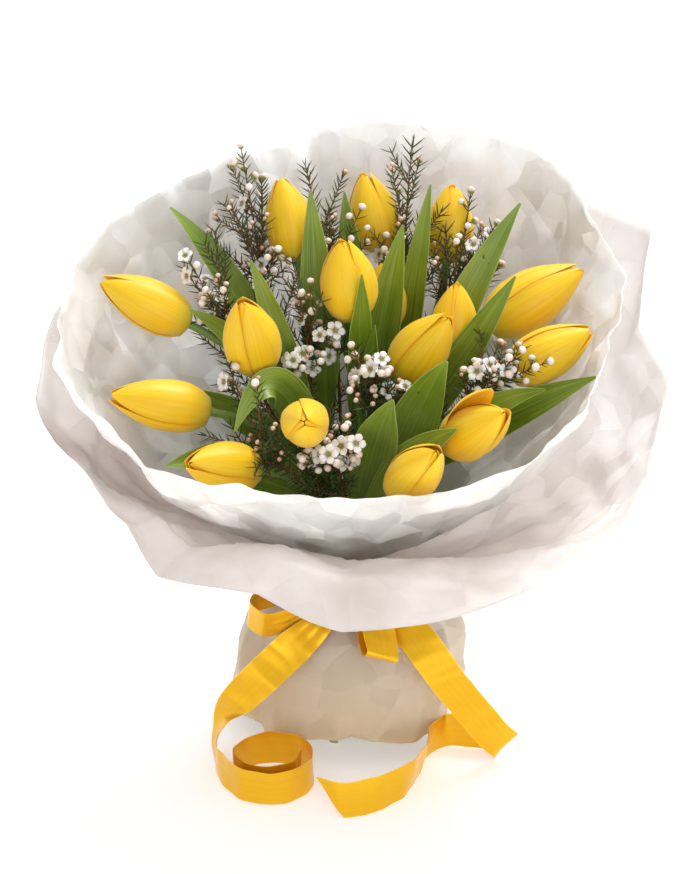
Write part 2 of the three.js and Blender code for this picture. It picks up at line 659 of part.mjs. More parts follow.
function leafBlade(leaf, swing, size) {
  const line = stems.get(leaf.stem).line;
  const above = line.findIndex((p) => p.z > leaf.from);
  const [low, high] = [line[above - 1], line[above]];
  const root = low.clone().lerp(high, (leaf.from - low.z) / (high.z - low.z));
  const tip = swung(leaf.tip, root, swing, size);
  const middle = root.clone().lerp(tip, 0.5).addScaledVector(UP, 2 * leaf.bow * size);
  const curve = new THREE.QuadraticBezierCurve3(root, middle, tip);
  const face = heading(leaf.face + swing, FACE_TILT);
  const grid = LEAF_OUTLINE.map((share, i) => {
    const t = i / (LEAF_OUTLINE.length - 1);
    const at = curve.getPoint(t);
    const side = curve.getTangent(t).cross(face).normalize();
    const front = side.clone().cross(curve.getTangent(t));
    const half = (leaf.wide * share) / 2;
    const fold = 2 * half * LEAF_FOLD;
    return [
      at.clone().addScaledVector(side, -half).addScaledVector(front, fold),
      at,
      at.clone().addScaledVector(side, half).addScaledVector(front, fold),
    ];
  });
  return { solid: blade(grid, LEAF_THICKNESS) };
}

for (const leaf of LEAVES) {
  const made = firstClear(`stem ${leaf.stem}`, (swing, size) => leafBlade(leaf, swing, size));
  if (!made) continue;
  const stem = stems.get(leaf.stem);
  stem.solid = joined([stem.solid, made.solid], [0.2, 0.15, 0.1, 0.05]);
  place(`stem ${leaf.stem}`, made.solid);
}

// Waxflower: each branch bears pairs of needles, and at its end flowers or buds on short stalks.
const NEEDLE_LONG = 10;
const NEEDLE_RADIUS = 0.7;
const FLOWER_RADIUS = 6.3;
const BUD_RADIUS = 3.1;
const STALK = 6;
const STALK_RADIUS = 0.65;
const PAIR_TURN = 101; // each pair of needles is turned on from the last

function acrossOf(along, turn) {
  const side = new THREE.Vector3(1, 0.2, 0.1);
  side.addScaledVector(along, -side.dot(along)).normalize();
  return side.applyAxisAngle(along, rad(turn));
}

// A pair of needles as one slim body that is widest where it crosses the branch
function needlePair(curve, t, turn) {
  const at = curve.getPoint(t);
  const along = curve.getTangent(t);
  const side = acrossOf(along, turn);
  const tips = [-1, 1].map((way) =>
    at.clone().addScaledVector(side, way * NEEDLE_LONG * 0.75).addScaledVector(along, NEEDLE_LONG * 0.66));
  const thin = along.clone().cross(side);
  const waist = [0, 120, 240].map((angle) => {
    const [ahead, over] = [NEEDLE_RADIUS * Math.cos(rad(angle)), NEEDLE_RADIUS * Math.sin(rad(angle))];
    return at.clone().addScaledVector(along, ahead).addScaledVector(thin, over);
  });
  return loft([[tips[0]], waist, [tips[1]]]);
}

// A ring of places round a centre, square to a direction: [reach, height] for each, given by `shape`
function roundAbout(centre, facing, count, shape) {
  const turn = new THREE.Quaternion().setFromUnitVectors(UP, facing);
  return Array.from({ length: count }, (_, k) => {
    const [reach, height] = shape(k);
    const angle = (k * 2 * Math.PI) / count;
    const spot = new THREE.Vector3(reach * Math.cos(angle), reach * Math.sin(angle), height);
    return spot.applyQuaternion(turn).add(centre);
  });
}

// A flower: a green cup on a short stalk, with five petals spread from its edge and a sunk middle
function flower(from, direction, facing) {
  const centre = from.clone().addScaledVector(direction, STALK + 1);
  return loft([
    roundAbout(from, direction, 5, () => [STALK_RADIUS, 0]),
    roundAbout(centre, facing, 5, () => [2.1, -2.2]),
    roundAbout(centre, facing, 10, (k) => [FLOWER_RADIUS * (k % 2 ? 0.56 : 1.04), k % 2 ? 0 : 0.5]),
    [centre.clone().addScaledVector(facing, -0.6)],
  ]);
}

// A bud on a short stalk
function bud(from, direction) {
  const centre = from.clone().addScaledVector(direction, STALK + 1);
  return loft([
    roundAbout(from, direction, 4, () => [STALK_RADIUS, 0]),
    roundAbout(centre, direction, 4, () => [BUD_RADIUS * 1.05, -0.8]),
    roundAbout(centre, direction, 4, () => [BUD_RADIUS * 0.9, 1.6]),
    [centre.clone().addScaledVector(direction, BUD_RADIUS)],
  ]);
}

// Where along each kind of branch its pairs of needles stand
const NEEDLES_AT = {
  needles: [0.3, 0.52, 0.74, 0.96],
  flowers: [0.5],
  buds: [0.55],
};

// What else each kind of branch bears: at which share of its length, and turned how far round it
const BEARS = {
  needles: [],
  flowers: [["flower", 1, 0], ["flower", 0.82, 60], ["bud", 0.72, 230]],
  buds: [["bud", 1, 0], ["bud", 0.9, 90], ["bud", 0.8, 270]],
};

for (const spray of SPRAYS) {
  const owner = `spray ${spray.name}`;
  const parts = [spray.solid];
  for (const [number, [x, y, z, kind]] of spray.branches.entries()) {
    const make = (swing, size) => {
      const tip = swung([x, y, z], spray.at, swing, size);
      const root = spray.at.clone().addScaledVector(spray.end, -2 - number);
      const middle = root.clone().addScaledVector(spray.end, 0.45 * root.distanceTo(tip));
      const curve = new THREE.QuadraticBezierCurve3(root, middle, tip);
      const radii = [1.3, 1.2, 1.05, 0.85].map((share) => share * BRANCH_RADIUS);
      return { curve, solid: rod(curve.getPoints(3), radii, 3) };
    };
    const made = firstClear(owner, make);
    if (!made) continue;
    parts.push(made.solid);
    place(owner, made.solid);
    for (const [k, t] of NEEDLES_AT[kind].entries()) {
      const needles = needlePair(made.curve, t, k * PAIR_TURN);
      if (isClear(owner, needles)) parts.push(needles);
    }
    for (const [what, t, turn] of BEARS[kind]) {
      const along = made.curve.getTangent(t);
      const from = made.curve.getPoint(t).addScaledVector(along, -1);
      const outward = along.clone().multiplyScalar(0.5).addScaledVector(acrossOf(along, turn), 0.87);
      const way = t === 1 ? along : outward;
      const facing = way.clone().add(new THREE.Vector3(0, -0.9, 0.3)).normalize();
      const solid = what === "flower" ? flower(from, way, facing) : bud(from, way);
      if (!isClear(owner, solid)) continue;
      parts.push(solid);
      place(owner, solid);
    }
  }
  spray.solid = joined(parts, [0.25, 0.22, 0.19, 0.16, 0.13, 0.1, 0.05]);
}

// Finished pieces
const group = new THREE.Group();

function geometryOf(solid) {
  const mesh = solid.getMesh();
  const geometry = new THREE.BufferGeometry();
  const places = new Float32Array(mesh.numVert * 3);
  for (let i = 0; i < mesh.numVert; i++) {
    places.set(mesh.vertProperties.subarray(i * mesh.numProp, i * mesh.numProp + 3), i * 3);
  }
  geometry.setAttribute("position", new THREE.BufferAttribute(places, 3));
  geometry.setIndex(new THREE.BufferAttribute(new Uint32Array(mesh.triVerts), 1));
  geometry.computeVertexNormals();
  return geometry;
}

function add(name, solid, color) {
  const mesh = new THREE.Mesh(geometryOf(solid.translate(AXIS)), new THREE.MeshStandardMaterial({ color }));
  mesh.name = name;
  group.add(mesh);
}

for (const [name, solid] of blooms) add(`bloom_${name}`, solid, 0xf5c518);
for (const [name, stem] of stems) add(`leafy-stem_${name}`, stem.solid, 0x4f7f38);
add("wrap_inner", wrapInner, 0xf3efec);
add("wrap_outer", wrapOuter, 0xece8e6);
add("binding_twine", twine, 0xb79a66);
for (const [name, solid] of Object.entries(ribbon)) add(name, solid, 0xf2b705);
for (const spray of SPRAYS) add(`waxflower_${spray.name}`, spray.solid, 0x7d6a3c);

export default group;
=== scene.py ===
import math
import random

import bpy
import numpy as np
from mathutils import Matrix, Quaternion, Vector
from mathutils.bvhtree import BVHTree


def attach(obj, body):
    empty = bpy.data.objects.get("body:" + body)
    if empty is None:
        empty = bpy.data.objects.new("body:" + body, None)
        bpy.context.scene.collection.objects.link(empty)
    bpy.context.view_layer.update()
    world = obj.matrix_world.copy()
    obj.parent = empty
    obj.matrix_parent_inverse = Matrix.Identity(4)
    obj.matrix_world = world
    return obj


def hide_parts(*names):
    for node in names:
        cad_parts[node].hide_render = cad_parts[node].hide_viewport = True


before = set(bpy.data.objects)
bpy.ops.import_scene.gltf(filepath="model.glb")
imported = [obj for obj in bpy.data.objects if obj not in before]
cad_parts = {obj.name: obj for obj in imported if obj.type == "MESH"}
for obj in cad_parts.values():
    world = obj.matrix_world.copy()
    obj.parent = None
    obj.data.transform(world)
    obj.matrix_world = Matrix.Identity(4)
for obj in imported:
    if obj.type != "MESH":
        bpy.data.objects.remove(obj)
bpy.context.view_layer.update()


# Camera
# The bunch is seen from a little above, from well back, with its tie below the middle of the picture.
# The long lens keeps the near ribbon and the far tissue at almost the same scale.
LOOKED_AT = Vector((-0.0035, 0.0064, 0.214))
CAMERA_DISTANCE = 1.6
CAMERA_RISE = math.radians(27)
SENSOR_WIDTH = 36
FOCAL_LENGTH = 98.86

camera = bpy.data.objects.new("camera", bpy.data.cameras.new("camera"))
camera.data.sensor_width = SENSOR_WIDTH
camera.data.lens = FOCAL_LENGTH
back = Vector((0, -math.cos(CAMERA_RISE), math.sin(CAMERA_RISE)))
camera.location = LOOKED_AT + back * CAMERA_DISTANCE
camera.rotation_euler = (-back).to_track_quat("-Z", "Y").to_euler()
bpy.context.scene.collection.objects.link(camera)
bpy.context.scene.camera = camera


# Tulip stems and their leaves
# Sixteen juicy round stems stand in a spiral that is tied 120 mm above the cut ends. Each carries its own
# long strap-shaped leaves, folded along the midrib and clasping the stem where they leave it.
# The bunch's own axis, which all its pieces are set out from
AXIS = np.array([-2.2, 6.4, 0.0])
TIE_HEIGHT = 120
STEM_RADIUS = 3.2
NECK_RADIUS = 2.7
STEM_SIDES = 14
# The stems stand on three rings in the tie. They lean 20 degrees there on the outermost, and less inside it.
TULIP_RINGS = [0, 6.9, 13.4]
LEAN = math.tan(math.radians(20)) / 13.4
SPIRAL_TURN = 70
# Height over the tie up to which a stem is straight, and points along its straight and its bent length
STRAIGHT_RISE = 26
STRAIGHT_POINTS = 8
BENT_POINTS = 30
UP = np.array([0.0, 0.0, 1.0])

# Name, ring and slot in the tie, bloom's seat, azimuth and angle that it leans to, length, width, open petal
TULIPS = [
    ("01", 0, 0, (0, 5, 299), -140, 8, 58, 37, None),
    ("02", 1, 307, (31, -12, 263), -30, 34, 64, 36, None),
    ("03", 1, 19, (66, 14, 268), 60, 6, 50, 31, None),
    ("04", 1, 91, (20, 39, 274), 72, 4, 48, 31, None),
    ("05", 1, 163, (-36, 50, 320), 132, 17, 57, 33, None),
    ("06", 1, 235, (-60, -30, 279), -115, 21, 60, 36, None),
    ("07", 2, 1, (102, -25, 272), -6, 56, 62, 34, None),
    ("08", 2, 37, (90, 25, 283), 3, 56, 74, 39, None),
    ("09", 2, 73, (64, 80, 306), 70, 12, 54, 33, None),
    ("10", 2, 109, (19, 82, 314), 142, 14, 55, 34, None),
    ("11", 2, 145, (-106, 5, 294), 180, 61, 66, 33, None),
    ("12", 2, 181, (-91, -45, 255), -168, 74, 67, 33, None),
    ("13", 2, 217, (-61, -80, 231), -142, 67, 57, 33, None),
    ("14", 2, 253, (-29, -78, 263), -90, 62, 58, 30, None),
    ("15", 2, 289, (28, -98, 225), -57, 42, 66, 31, None),
    ("16", 2, 325, (62, -70, 244), -47, 49, 64, 34, 2),
]

# Stem, height of the root, tip, width, azimuth the upper face looks to, bow, swing about the root, size
LEAVES = [
    ("01", 215, (6, -18, 339), 20, -60, 4, 0, 1),
    ("02", 205, (16, -10, 324), 17, -120, 4, 0, 0.8),
    ("03", 205, (106, -1, 334), 24, -100, 0, -7, 1),
    ("04", 205, (33, 22, 357), 24, -100, 8, 0, 1),
    ("05", 210, (-27, 34, 376), 25, -100, 6, 0, 1),
    ("06", 200, (-65, -8, 345), 20, -80, 8, 0, 1),
    ("07", 190, (154, -58, 286), 27, -115, 4, 0, 1),
    ("08", 200, (111, 55, 359), 24, -90, 10, 0, 1),
    ("09", 215, (46, 62, 372), 18, -90, 6, -21, 1),
    ("10", 210, (-5, 70, 361), 22, -90, 8, 0, 1),
    ("11", 195, (-119, 40, 362), 22, -60, 20, 0, 1),
    ("11", 215, (-105, -12, 312), 17, -60, 12, 0, 1),
    ("12", 200, (-80, -66, 262), 20, -70, 6, -36, 1),
    ("13", 175, (-82, -122, 241), 30, -90, 14, -21, 1),
    ("14", 190, (-74, -75, 256), 24, -100, 52, 0, 1),
    ("15", 175, (25, -105, 293), 31, -90, 8, 0, 1),
    ("15", 190, (70, -95, 271), 22, -90, 8, -7, 1),
    ("16", 185, (59, -75, 305), 32, -90, 8, 0, 1),
    ("16", 195, (122, -62, 279), 20, -60, 14, 0, 1),
]
LEAF_OUTLINE = [0.3, 0.7, 0.97, 0.98, 0.8, 0.48, 0.06]
LEAF_THICKNESS = 0.7
MIDRIB_DEPTH = 0.14
LEAF_GRID = (34, 13)
LEAF_FACES_UP = 60
# A leaf's edge waves this many times, this high for its width. At its foot the blade folds more, to clasp.
EDGE_WAVES = 2.4
EDGE_WAVE_HEIGHT = 0.035
CLASP = 2.2
CLASP_REACH = 0.06


def unit(vectors):
    return vectors / np.maximum(np.linalg.norm(vectors, axis=-1, keepdims=True), 1e-9)


def heading(azimuth, from_vertical):
    """A unit vector at an azimuth and at an angle from the vertical, both in degrees."""
    a, e = math.radians(azimuth), math.radians(from_vertical)
    return np.array([math.sin(e) * math.cos(a), math.sin(e) * math.sin(a), math.cos(e)])


def turned(point, azimuth):
    """A point turned about the vertical through the origin."""
    a = math.radians(azimuth)
    x, y, z = point
    return np.array([x * math.cos(a) - y * math.sin(a), x * math.sin(a) + y * math.cos(a), z])


def through(keys, values, at):
    """A smooth curve through the values at the keys, read at each place in `at`."""
    keys, values, at = (np.asarray(x, float) for x in (keys, values, at))
    slopes = np.gradient(values, keys, axis=0)
    i = np.clip(np.searchsorted(keys, at, side="right") - 1, 0, len(keys) - 2)
    span = (keys[i + 1] - keys[i]).reshape((-1,) + (1,) * (values.ndim - 1))
    t = np.clip(((at - keys[i]) / (keys[i + 1] - keys[i])), 0, 1).reshape(span.shape)
    start, end = values[i], values[i + 1]
    return (
        start * (2 * t**3 - 3 * t**2 + 1)
        + end * (3 * t**2 - 2 * t**3)
        + slopes[i] * span * (t**3 - 2 * t**2 + t)
        + slopes[i + 1] * span * (t**3 - t**2)
    )


def bezier(points, count):
    """Points along a Bezier curve of two or three spans of control, and the curve's directions there."""
    t = np.linspace(0, 1, count)[:, None]
    p = [np.asarray(q, float) for q in points]
    if len(p) == 3:
        line = p[0] * (1 - t) ** 2 + 2 * p[1] * t * (1 - t) + p[2] * t**2
        way = (p[1] - p[0]) * (1 - t) + (p[2] - p[1]) * t
    else:
        line = (
            p[0] * (1 - t) ** 3 + 3 * p[1] * t * (1 - t) ** 2 + 3 * p[2] * t**2 * (1 - t) + p[3] * t**3
        )
        way = (p[1] - p[0]) * (1 - t) ** 2 + 2 * (p[2] - p[1]) * t * (1 - t) + (p[3] - p[2]) * t**2
    return line, unit(way)


def shell(grid, thickness, around=False, tone=0.0, finish=0):
    """A closed skin over a grid of middle points, with u across it and v along it."""
    rows, cols = grid.shape[:2]
    along = np.gradient(grid, axis=0)
    across = (np.roll(grid, -1, 1) - np.roll(grid, 1, 1)) if around else np.gradient(grid, axis=1)
    offset = unit(np.cross(along, across)) * np.asarray(thickness)[..., None] / 2
    points = np.concatenate([(grid + offset).reshape(-1, 3), (grid - offset).reshape(-1, 3)])
    i, j = np.meshgrid(np.arange(rows - 1), np.arange(cols if around else cols - 1), indexing="ij")
    a = (i * cols + j).ravel()
    d = (i * cols + (j + 1) % cols).ravel()
    n = rows * cols
    quads = [np.stack([a, a + cols, d + cols, d], 1), np.stack([a, d, d + cols, a + cols], 1) + n]
    j = np.arange(cols if around else cols - 1)
    k = (j + 1) % cols
    last = (rows - 1) * cols
    quads.append(np.stack([j, k, n + k, n + j], 1))
    quads.append(np.stack([last + k, last + j, n + last + j, n + last + k], 1))
    if not around:
        a = np.arange(rows - 1) * cols
        quads.append(np.stack([a + cols, a, n + a, n + a + cols], 1))
        a = a + cols - 1
        quads.append(np.stack([a, a + cols, n + a + cols, n + a], 1))
    v, u = np.meshgrid(np.linspace(0, 1, rows), np.linspace(0, 1, cols), indexing="ij")
    uv = np.tile(np.stack([u.ravel(), v.ravel()], 1), (2, 1))
    return points, np.concatenate(quads), uv, tone, finish


def tube(line, radii, sides, tone=0.0, finish=0):
    """A round rod along points, closed at both ends."""
    line = np.asarray(line, float)
    along = unit(np.gradient(line, axis=0))
    side = np.array([1, 0.2, 0.1])
    turn = np.arange(sides) * 2 * math.pi / sides
    rings = []
    for p, way, r in zip(line, along, radii):
        side = unit(side - way * side.dot(way))
        other = np.cross(way, side)
        rings.append(p + r * (np.cos(turn)[:, None] * side + np.sin(turn)[:, None] * other))
    rows = len(rings)
    points = np.concatenate([*rings, [line[0]], [line[-1]]])
    i, j = np.meshgrid(np.arange(rows - 1), np.arange(sides), indexing="ij")
    a = (i * sides + j).ravel()
    b = (i * sides + (j + 1) % sides).ravel()
    quads = np.stack([a, b, b + sides, a + sides], 1)
    j = np.arange(sides)
    k = (j + 1) % sides
    foot, top = rows * sides, rows * sides + 1
    last = (rows - 1) * sides
    foot_fan = np.stack([np.full(sides, foot), k, j, j], 1)
    top_fan = np.stack([np.full(sides, top), last + j, last + k, last + k], 1)
    v, u = np.meshgrid(np.linspace(0, 1, rows), np.arange(sides) / sides, indexing="ij")
    uv = np.concatenate([np.stack([u.ravel(), v.ravel()], 1), [[0.5, 0]], [[0.5, 1]]])
    return points, np.concatenate([quads, foot_fan, top_fan]), uv, tone, finish


def joined(shells):
    """The points and faces of several shells as one mesh."""
    points = np.concatenate([s[0] for s in shells])
    starts = np.cumsum([0] + [len(s[0]) for s in shells[:-1]])
    quads = np.concatenate([s[1] + start for start, s in zip(starts, shells)]).tolist()
    return points, [f[:3] if f[2] == f[3] else f for f in quads]


def store(mesh, name, values):
    mesh.attributes.new(name, "FLOAT", "POINT").data.foreach_set("value", np.array(values, np.float32))


def stand_for(made, node):
    """An object that rides on the bunch and stands for a node of the solid model."""
    bpy.context.scene.collection.objects.link(made)
    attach(made, "root")
    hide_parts(node)


def piece(name, shells, finishes, node, crease=50):
    """One object from shells in millimetres, with edges sharper than the crease's angle left crisp."""
    points, faces = joined(shells)
    points = (points + AXIS) / 1000
    points[:, 2] = np.maximum(points[:, 2], 0)
    mesh = bpy.data.meshes.new(name)
    mesh.from_pydata(points.tolist(), [], faces)
    uv = np.concatenate([s[2] for s in shells])
    corner = np.empty(len(mesh.loops), np.int32)
    mesh.loops.foreach_get("vertex_index", corner)
    mesh.uv_layers.new(name="UVMap").data.foreach_set("uv", uv[corner].astype(np.float32).ravel())
    store(mesh, "tone", np.concatenate([np.full(len(s[0]), s[3]) for s in shells]))
    for material in finishes:
        mesh.materials.append(material)
    finish = np.concatenate([np.full(len(s[1]), s[4]) for s in shells])
    mesh.polygons.foreach_set("material_index", finish.astype(np.int32))
    mesh.polygons.foreach_set("use_smooth", np.ones(len(mesh.polygons), bool))
    mesh.set_sharp_from_angle(angle=math.radians(crease))
    made = bpy.data.objects.new(name, mesh)
    stand_for(made, node)
    return made


def colour(*channels):
    """A screen colour, red, green and blue from 0 to 255, as the shader's linear one."""
    return tuple(((c / 255 + 0.055) / 1.055) ** 2.4 if c > 10 else c / 3295 for c in channels) + (1,)


def grey(share):
    return (share,) * 3 + (1,)


def add_node(tree, kind, inputs=None, **settings):
    """A node with its settings, and each named or numbered input set to a value or linked to a socket."""
    node = tree.nodes.new(kind)
    for name, value in settings.items():
        setattr(node, name, value)
    for name, value in (inputs or {}).items():
        if isinstance(value, bpy.types.NodeSocket):
            tree.links.new(value, node.inputs[name])
        else:
            node.inputs[name].default_value = value
    return node


def finish_named(name, **values):
    """A material with a Principled BSDF whose own sockets have these values; `_` stands for a space."""
    material = bpy.data.materials.new(name)
    material.use_nodes = True
    shader = material.node_tree.nodes["Principled BSDF"]
    for socket, value in values.items():
        shader.inputs[socket.replace("_", " ")].default_value = value
    return material, material.node_tree, shader


def ramp(tree, factor, *stops):
    """A colour ramp. A stop is a place with a screen colour's three channels, or with one plain share."""
    node = add_node(tree, "ShaderNodeValToRGB", {"Fac": factor})
    while len(node.color_ramp.elements) < len(stops):
        node.color_ramp.elements.new(0.5)
    for element, (place, *value) in zip(node.color_ramp.elements, stops):
        element.position = place
        element.color = colour(*value) if len(value) == 3 else grey(*value)
    return node.outputs["Color"]


def mixed(tree, factor, a, b, blend="MIX"):
    """Colour a turned into colour b by a factor."""
    node = add_node(tree, "ShaderNodeMix", data_type="RGBA", blend_type=blend)
    for socket, value in ((node.inputs[0], factor), (node.inputs[6], a), (node.inputs[7], b)):
        if isinstance(value, bpy.types.NodeSocket):
            tree.links.new(value, socket)
        else:
            socket.default_value = value
    return node.outputs[2]


def maths(tree, operation, *values, clamped=False):
    return add_node(
        tree, "ShaderNodeMath", dict(enumerate(values)), operation=operation, use_clamp=clamped
    ).outputs[0]


def stored(tree, name):
    """A number that the mesh carries at each point."""
    return add_node(tree, "ShaderNodeAttribute", attribute_name=name).outputs["Fac"]


def clouds(tree, scale, detail=2.0):
    """Soft noise over the object, about this many clouds to the metre."""
    spot = add_node(tree, "ShaderNodeTexCoord").outputs["Object"]
    noise = {"Vector": spot, "Scale": scale, "Detail": detail}
    return add_node(tree, "ShaderNodeTexNoise", noise).outputs["Fac"]


def across_along(tree):
    """The place across a blade and the place along it, each 0 to 1."""
    place = add_node(tree, "ShaderNodeSeparateXYZ", {0: add_node(tree, "ShaderNodeUVMap").outputs[0]})
    return place.outputs[0], place.outputs[1]


def finished(tree, shader, tone, height, strength, distance):
    """The colour and the fine relief of a finish; the distance is in metres."""
    tree.links.new(tone, shader.inputs["Base Color"])
    bump = add_node(tree, "ShaderNodeBump", {"Height": height, "Strength": strength, "Distance": distance})
    tree.links.new(bump.outputs[0], shader.inputs["Normal"])


def new_group(name, numbers, outputs=("Mask",)):
    """An empty shader group with number inputs and outputs, and its input and output nodes."""
    group = bpy.data.node_groups.new(name, "ShaderNodeTree")
    for label, value in numbers.items():
        group.interface.new_socket(label, in_out="INPUT", socket_type="NodeSocketFloat").default_value = value
    for label in outputs:
        group.interface.new_socket(label, in_out="OUTPUT", socket_type="NodeSocketFloat")
    return group, group.nodes.new("NodeGroupInput"), group.nodes.new("NodeGroupOutput")


# The fine lines that run from end to end of a petal or leaf, closer together towards its tip
veins, given, result = new_group("lengthwise veins", {"Lines": 40.0, "Waver": 3.0})
across, along = across_along(veins)
across = maths(veins, "MULTIPLY", across, given.outputs["Lines"])
along = maths(veins, "MULTIPLY", along, given.outputs["Waver"])
seat = add_node(veins, "ShaderNodeCombineXYZ", {0: across, 1: along, 2: stored(veins, "tone")}).outputs[0]
lines = add_node(veins, "ShaderNodeTexNoise", {"Vector": seat, "Scale": 1.0, "Detail": 3.0})
veins.links.new(lines.outputs["Fac"], result.inputs["Mask"])


def vein_mask(tree, lines, waver):
    node = add_node(tree, "ShaderNodeGroup", node_tree=veins)
    node.inputs["Lines"].default_value = lines
    node.inputs["Waver"].default_value = waver
    return node.outputs["Mask"]


def midrib_mask(tree):
    """1 along the middle of the blade and 0 at both edges."""
    away = maths(tree, "ABSOLUTE", maths(tree, "SUBTRACT", across_along(tree)[0], 0.5))
    ends = {"Value": away, "From Max": 0.5, "To Min": 1.0, "To Max": 0.0}
    return add_node(tree, "ShaderNodeMapRange", ends).outputs[0]


leaf_green, tree, shader = finish_named(
    "tulip leaf",
    Roughness=0.42, Subsurface_Weight=0.06, Subsurface_Scale=0.002, Subsurface_Radius=(0.4, 1.0, 0.2),
)
vein = vein_mask(tree, 34.0, 1.6)
tone = ramp(tree, vein, (0.3, 80, 112, 18), (0.52, 122, 148, 32), (0.72, 166, 184, 58))
patches = clouds(tree, 22.0)
bloomy = ramp(tree, patches, (0.35, 84, 116, 24), (0.7, 166, 184, 98))
tone = mixed(tree, 0.35, tone, bloomy)
rib = ramp(tree, midrib_mask(tree), (0.93, 0), (0.99, 0.5))
tone = mixed(tree, rib, tone, colour(132, 168, 92))
margin = ramp(tree, midrib_mask(tree), (0.0, 0.7), (0.07, 0))
tone = mixed(tree, margin, tone, colour(176, 200, 120))
finished(tree, shader, tone, vein, 0.35, 0.0006)
tree.links.new(ramp(tree, patches, (0.35, 0.28), (0.7, 0.44)), shader.inputs["Roughness"])

stem_green, tree, shader = finish_named(
    "tulip stem", Roughness=0.4, Subsurface_Weight=0.12, Subsurface_Scale=0.003
)
tone = ramp(
    tree, across_along(tree)[1],
    (0.0, 196, 206, 160), (0.02, 128, 158, 84), (0.6, 112, 150, 70), (1.0, 122, 156, 72),
)
vein = vein_mask(tree, 16.0, 8.0)
streak = ramp(tree, vein, (0.35, 98, 134, 60), (0.7, 150, 178, 104))
finished(tree, shader, mixed(tree, 0.35, tone, streak), vein, 0.2, 0.0004)


def in_bundle(radius, slot, z):
    """Where a stem of this ring and slot is at a height, in the straight part of the spiral."""
    seat = turned((radius, 0, 0), slot - SPIRAL_TURN)
    seat = seat + np.cross(UP, seat) * LEAN * (z - TIE_HEIGHT)
    seat[2] = z
    return seat


def stem_line(radius, slot, head, end, steps):
    """The middle line of a stem, from its cut end on the floor through the tie to its head."""
    foot = in_bundle(radius, slot, 0)
    high = in_bundle(radius, slot, TIE_HEIGHT + STRAIGHT_RISE)
    reach = np.linalg.norm(np.asarray(head) - high)
    bend, _ = bezier([high, high + unit(high - foot) * reach * 0.36, head - end * reach * 0.36, head], steps)
    straight = foot + (high - foot) * np.linspace(0, 1, STRAIGHT_POINTS + 1)[:-1, None]
    return np.concatenate([straight, bend])


def thinning(line, low, high):
    """The radius at each point of a stem, which is even up to where the stem bends."""
    return np.interp(np.arange(len(line)), [STRAIGHT_POINTS, len(line) - 1], [low, high])


def at_height(line, height):
    return np.array([np.interp(height, line[:, 2], line[:, k]) for k in range(3)])


def leaf(line, height, tip, wide, face, bow, swing, size, luck):
    """One leaf, folded along its midrib, from its root on the stem's line to its tip."""
    root = at_height(line, height)
    tip = root + turned((np.array(tip) - root) * size, swing)
    middle = (root + tip) / 2 + UP * 2 * bow * size
    rows, cols = LEAF_GRID
    curve, way = bezier([root, middle, tip], rows)
    side = unit(np.cross(way, heading(face + swing, LEAF_FACES_UP)))
    front = np.cross(side, way)
    t = np.linspace(0, 1, rows)
    half = wide / 2 * np.clip(through(np.linspace(0, 1, len(LEAF_OUTLINE)), LEAF_OUTLINE, t), 0.04, 1)
    u = np.linspace(-1, 1, cols)
    wave = np.zeros((rows, cols))
    for way_out, phase in ((-1, luck.random()), (1, luck.random())):
        edge = np.clip(u * way_out, 0, 1) ** 2
        swung = np.sin(2 * math.pi * (EDGE_WAVES * t + phase)) * np.sin(math.pi * t)
        wave += edge * (swung * wide * EDGE_WAVE_HEIGHT)[:, None]
    clasp = 1 + CLASP * np.exp(-t / CLASP_REACH)
    rise = (2 * half * MIDRIB_DEPTH * clasp)[:, None] * np.abs(u) ** 1.35 + wave
    grid = curve[:, None] + side[:, None] * (half[:, None] * u)[..., None] + front[:, None] * rise[..., None]
    thick = LEAF_THICKNESS * (0.55 + 0.45 * (1 - np.abs(u)))[None, :] * np.ones((rows, 1))
    return shell(grid, thick, tone=luck.random() * 9)


for number, (name, ring, slot, head, toward, lean, long, wide, opened) in enumerate(TULIPS):
    luck = random.Random(100 + number)
    axis = heading(toward, lean)
    line = stem_line(TULIP_RINGS[ring], slot, np.array(head) - axis * 0.3, axis, BENT_POINTS)
    shells = [tube(line, thinning(line, STEM_RADIUS, NECK_RADIUS), STEM_SIDES, tone=number, finish=1)]
    for stem, height, tip, leaf_wide, face, bow, swing, size in LEAVES:
        if stem == name:
            shells.append(leaf(line, height, tip, leaf_wide, face, bow, swing, size, luck))
    piece(f"tulip-stem-{name}", shells, [leaf_green, stem_green], f"leafy-stem_{name}")


# Tulip blooms
# Each bud has three outer and three inner petals, thick and waxy, that overlap like shingles and close to a
# point. They are golden yellow, a little deeper along the middle, with painted shade at their edges where
# they overlap, and a greenish flush at the foot where the stem joins.
BUD_KEYS = [0, 0.012, 0.07, 0.2, 0.4, 0.62, 0.84, 1]
OUTER_RADII = [0.14, 0.36, 0.64, 0.9, 1, 0.9, 0.56, 0.2]
INNER_RADII = [0.14, 0.34, 0.59, 0.83, 0.93, 0.82, 0.48, 0.05]
PETAL_THICKNESS = 0.8
PETAL_GRID = (26, 15)
# Half the angle that a petal goes round the bud, in degrees
OUTER_HALF_ANGLE = 64
INNER_HALF_ANGLE = 54
# How far up the bud an outer, an inner and an open petal reach, and how far the open one flares
OUTER_REACH = 0.985
INNER_REACH = 0.965
OPEN_REACH = 0.88
OPEN_FLARE = 1.35

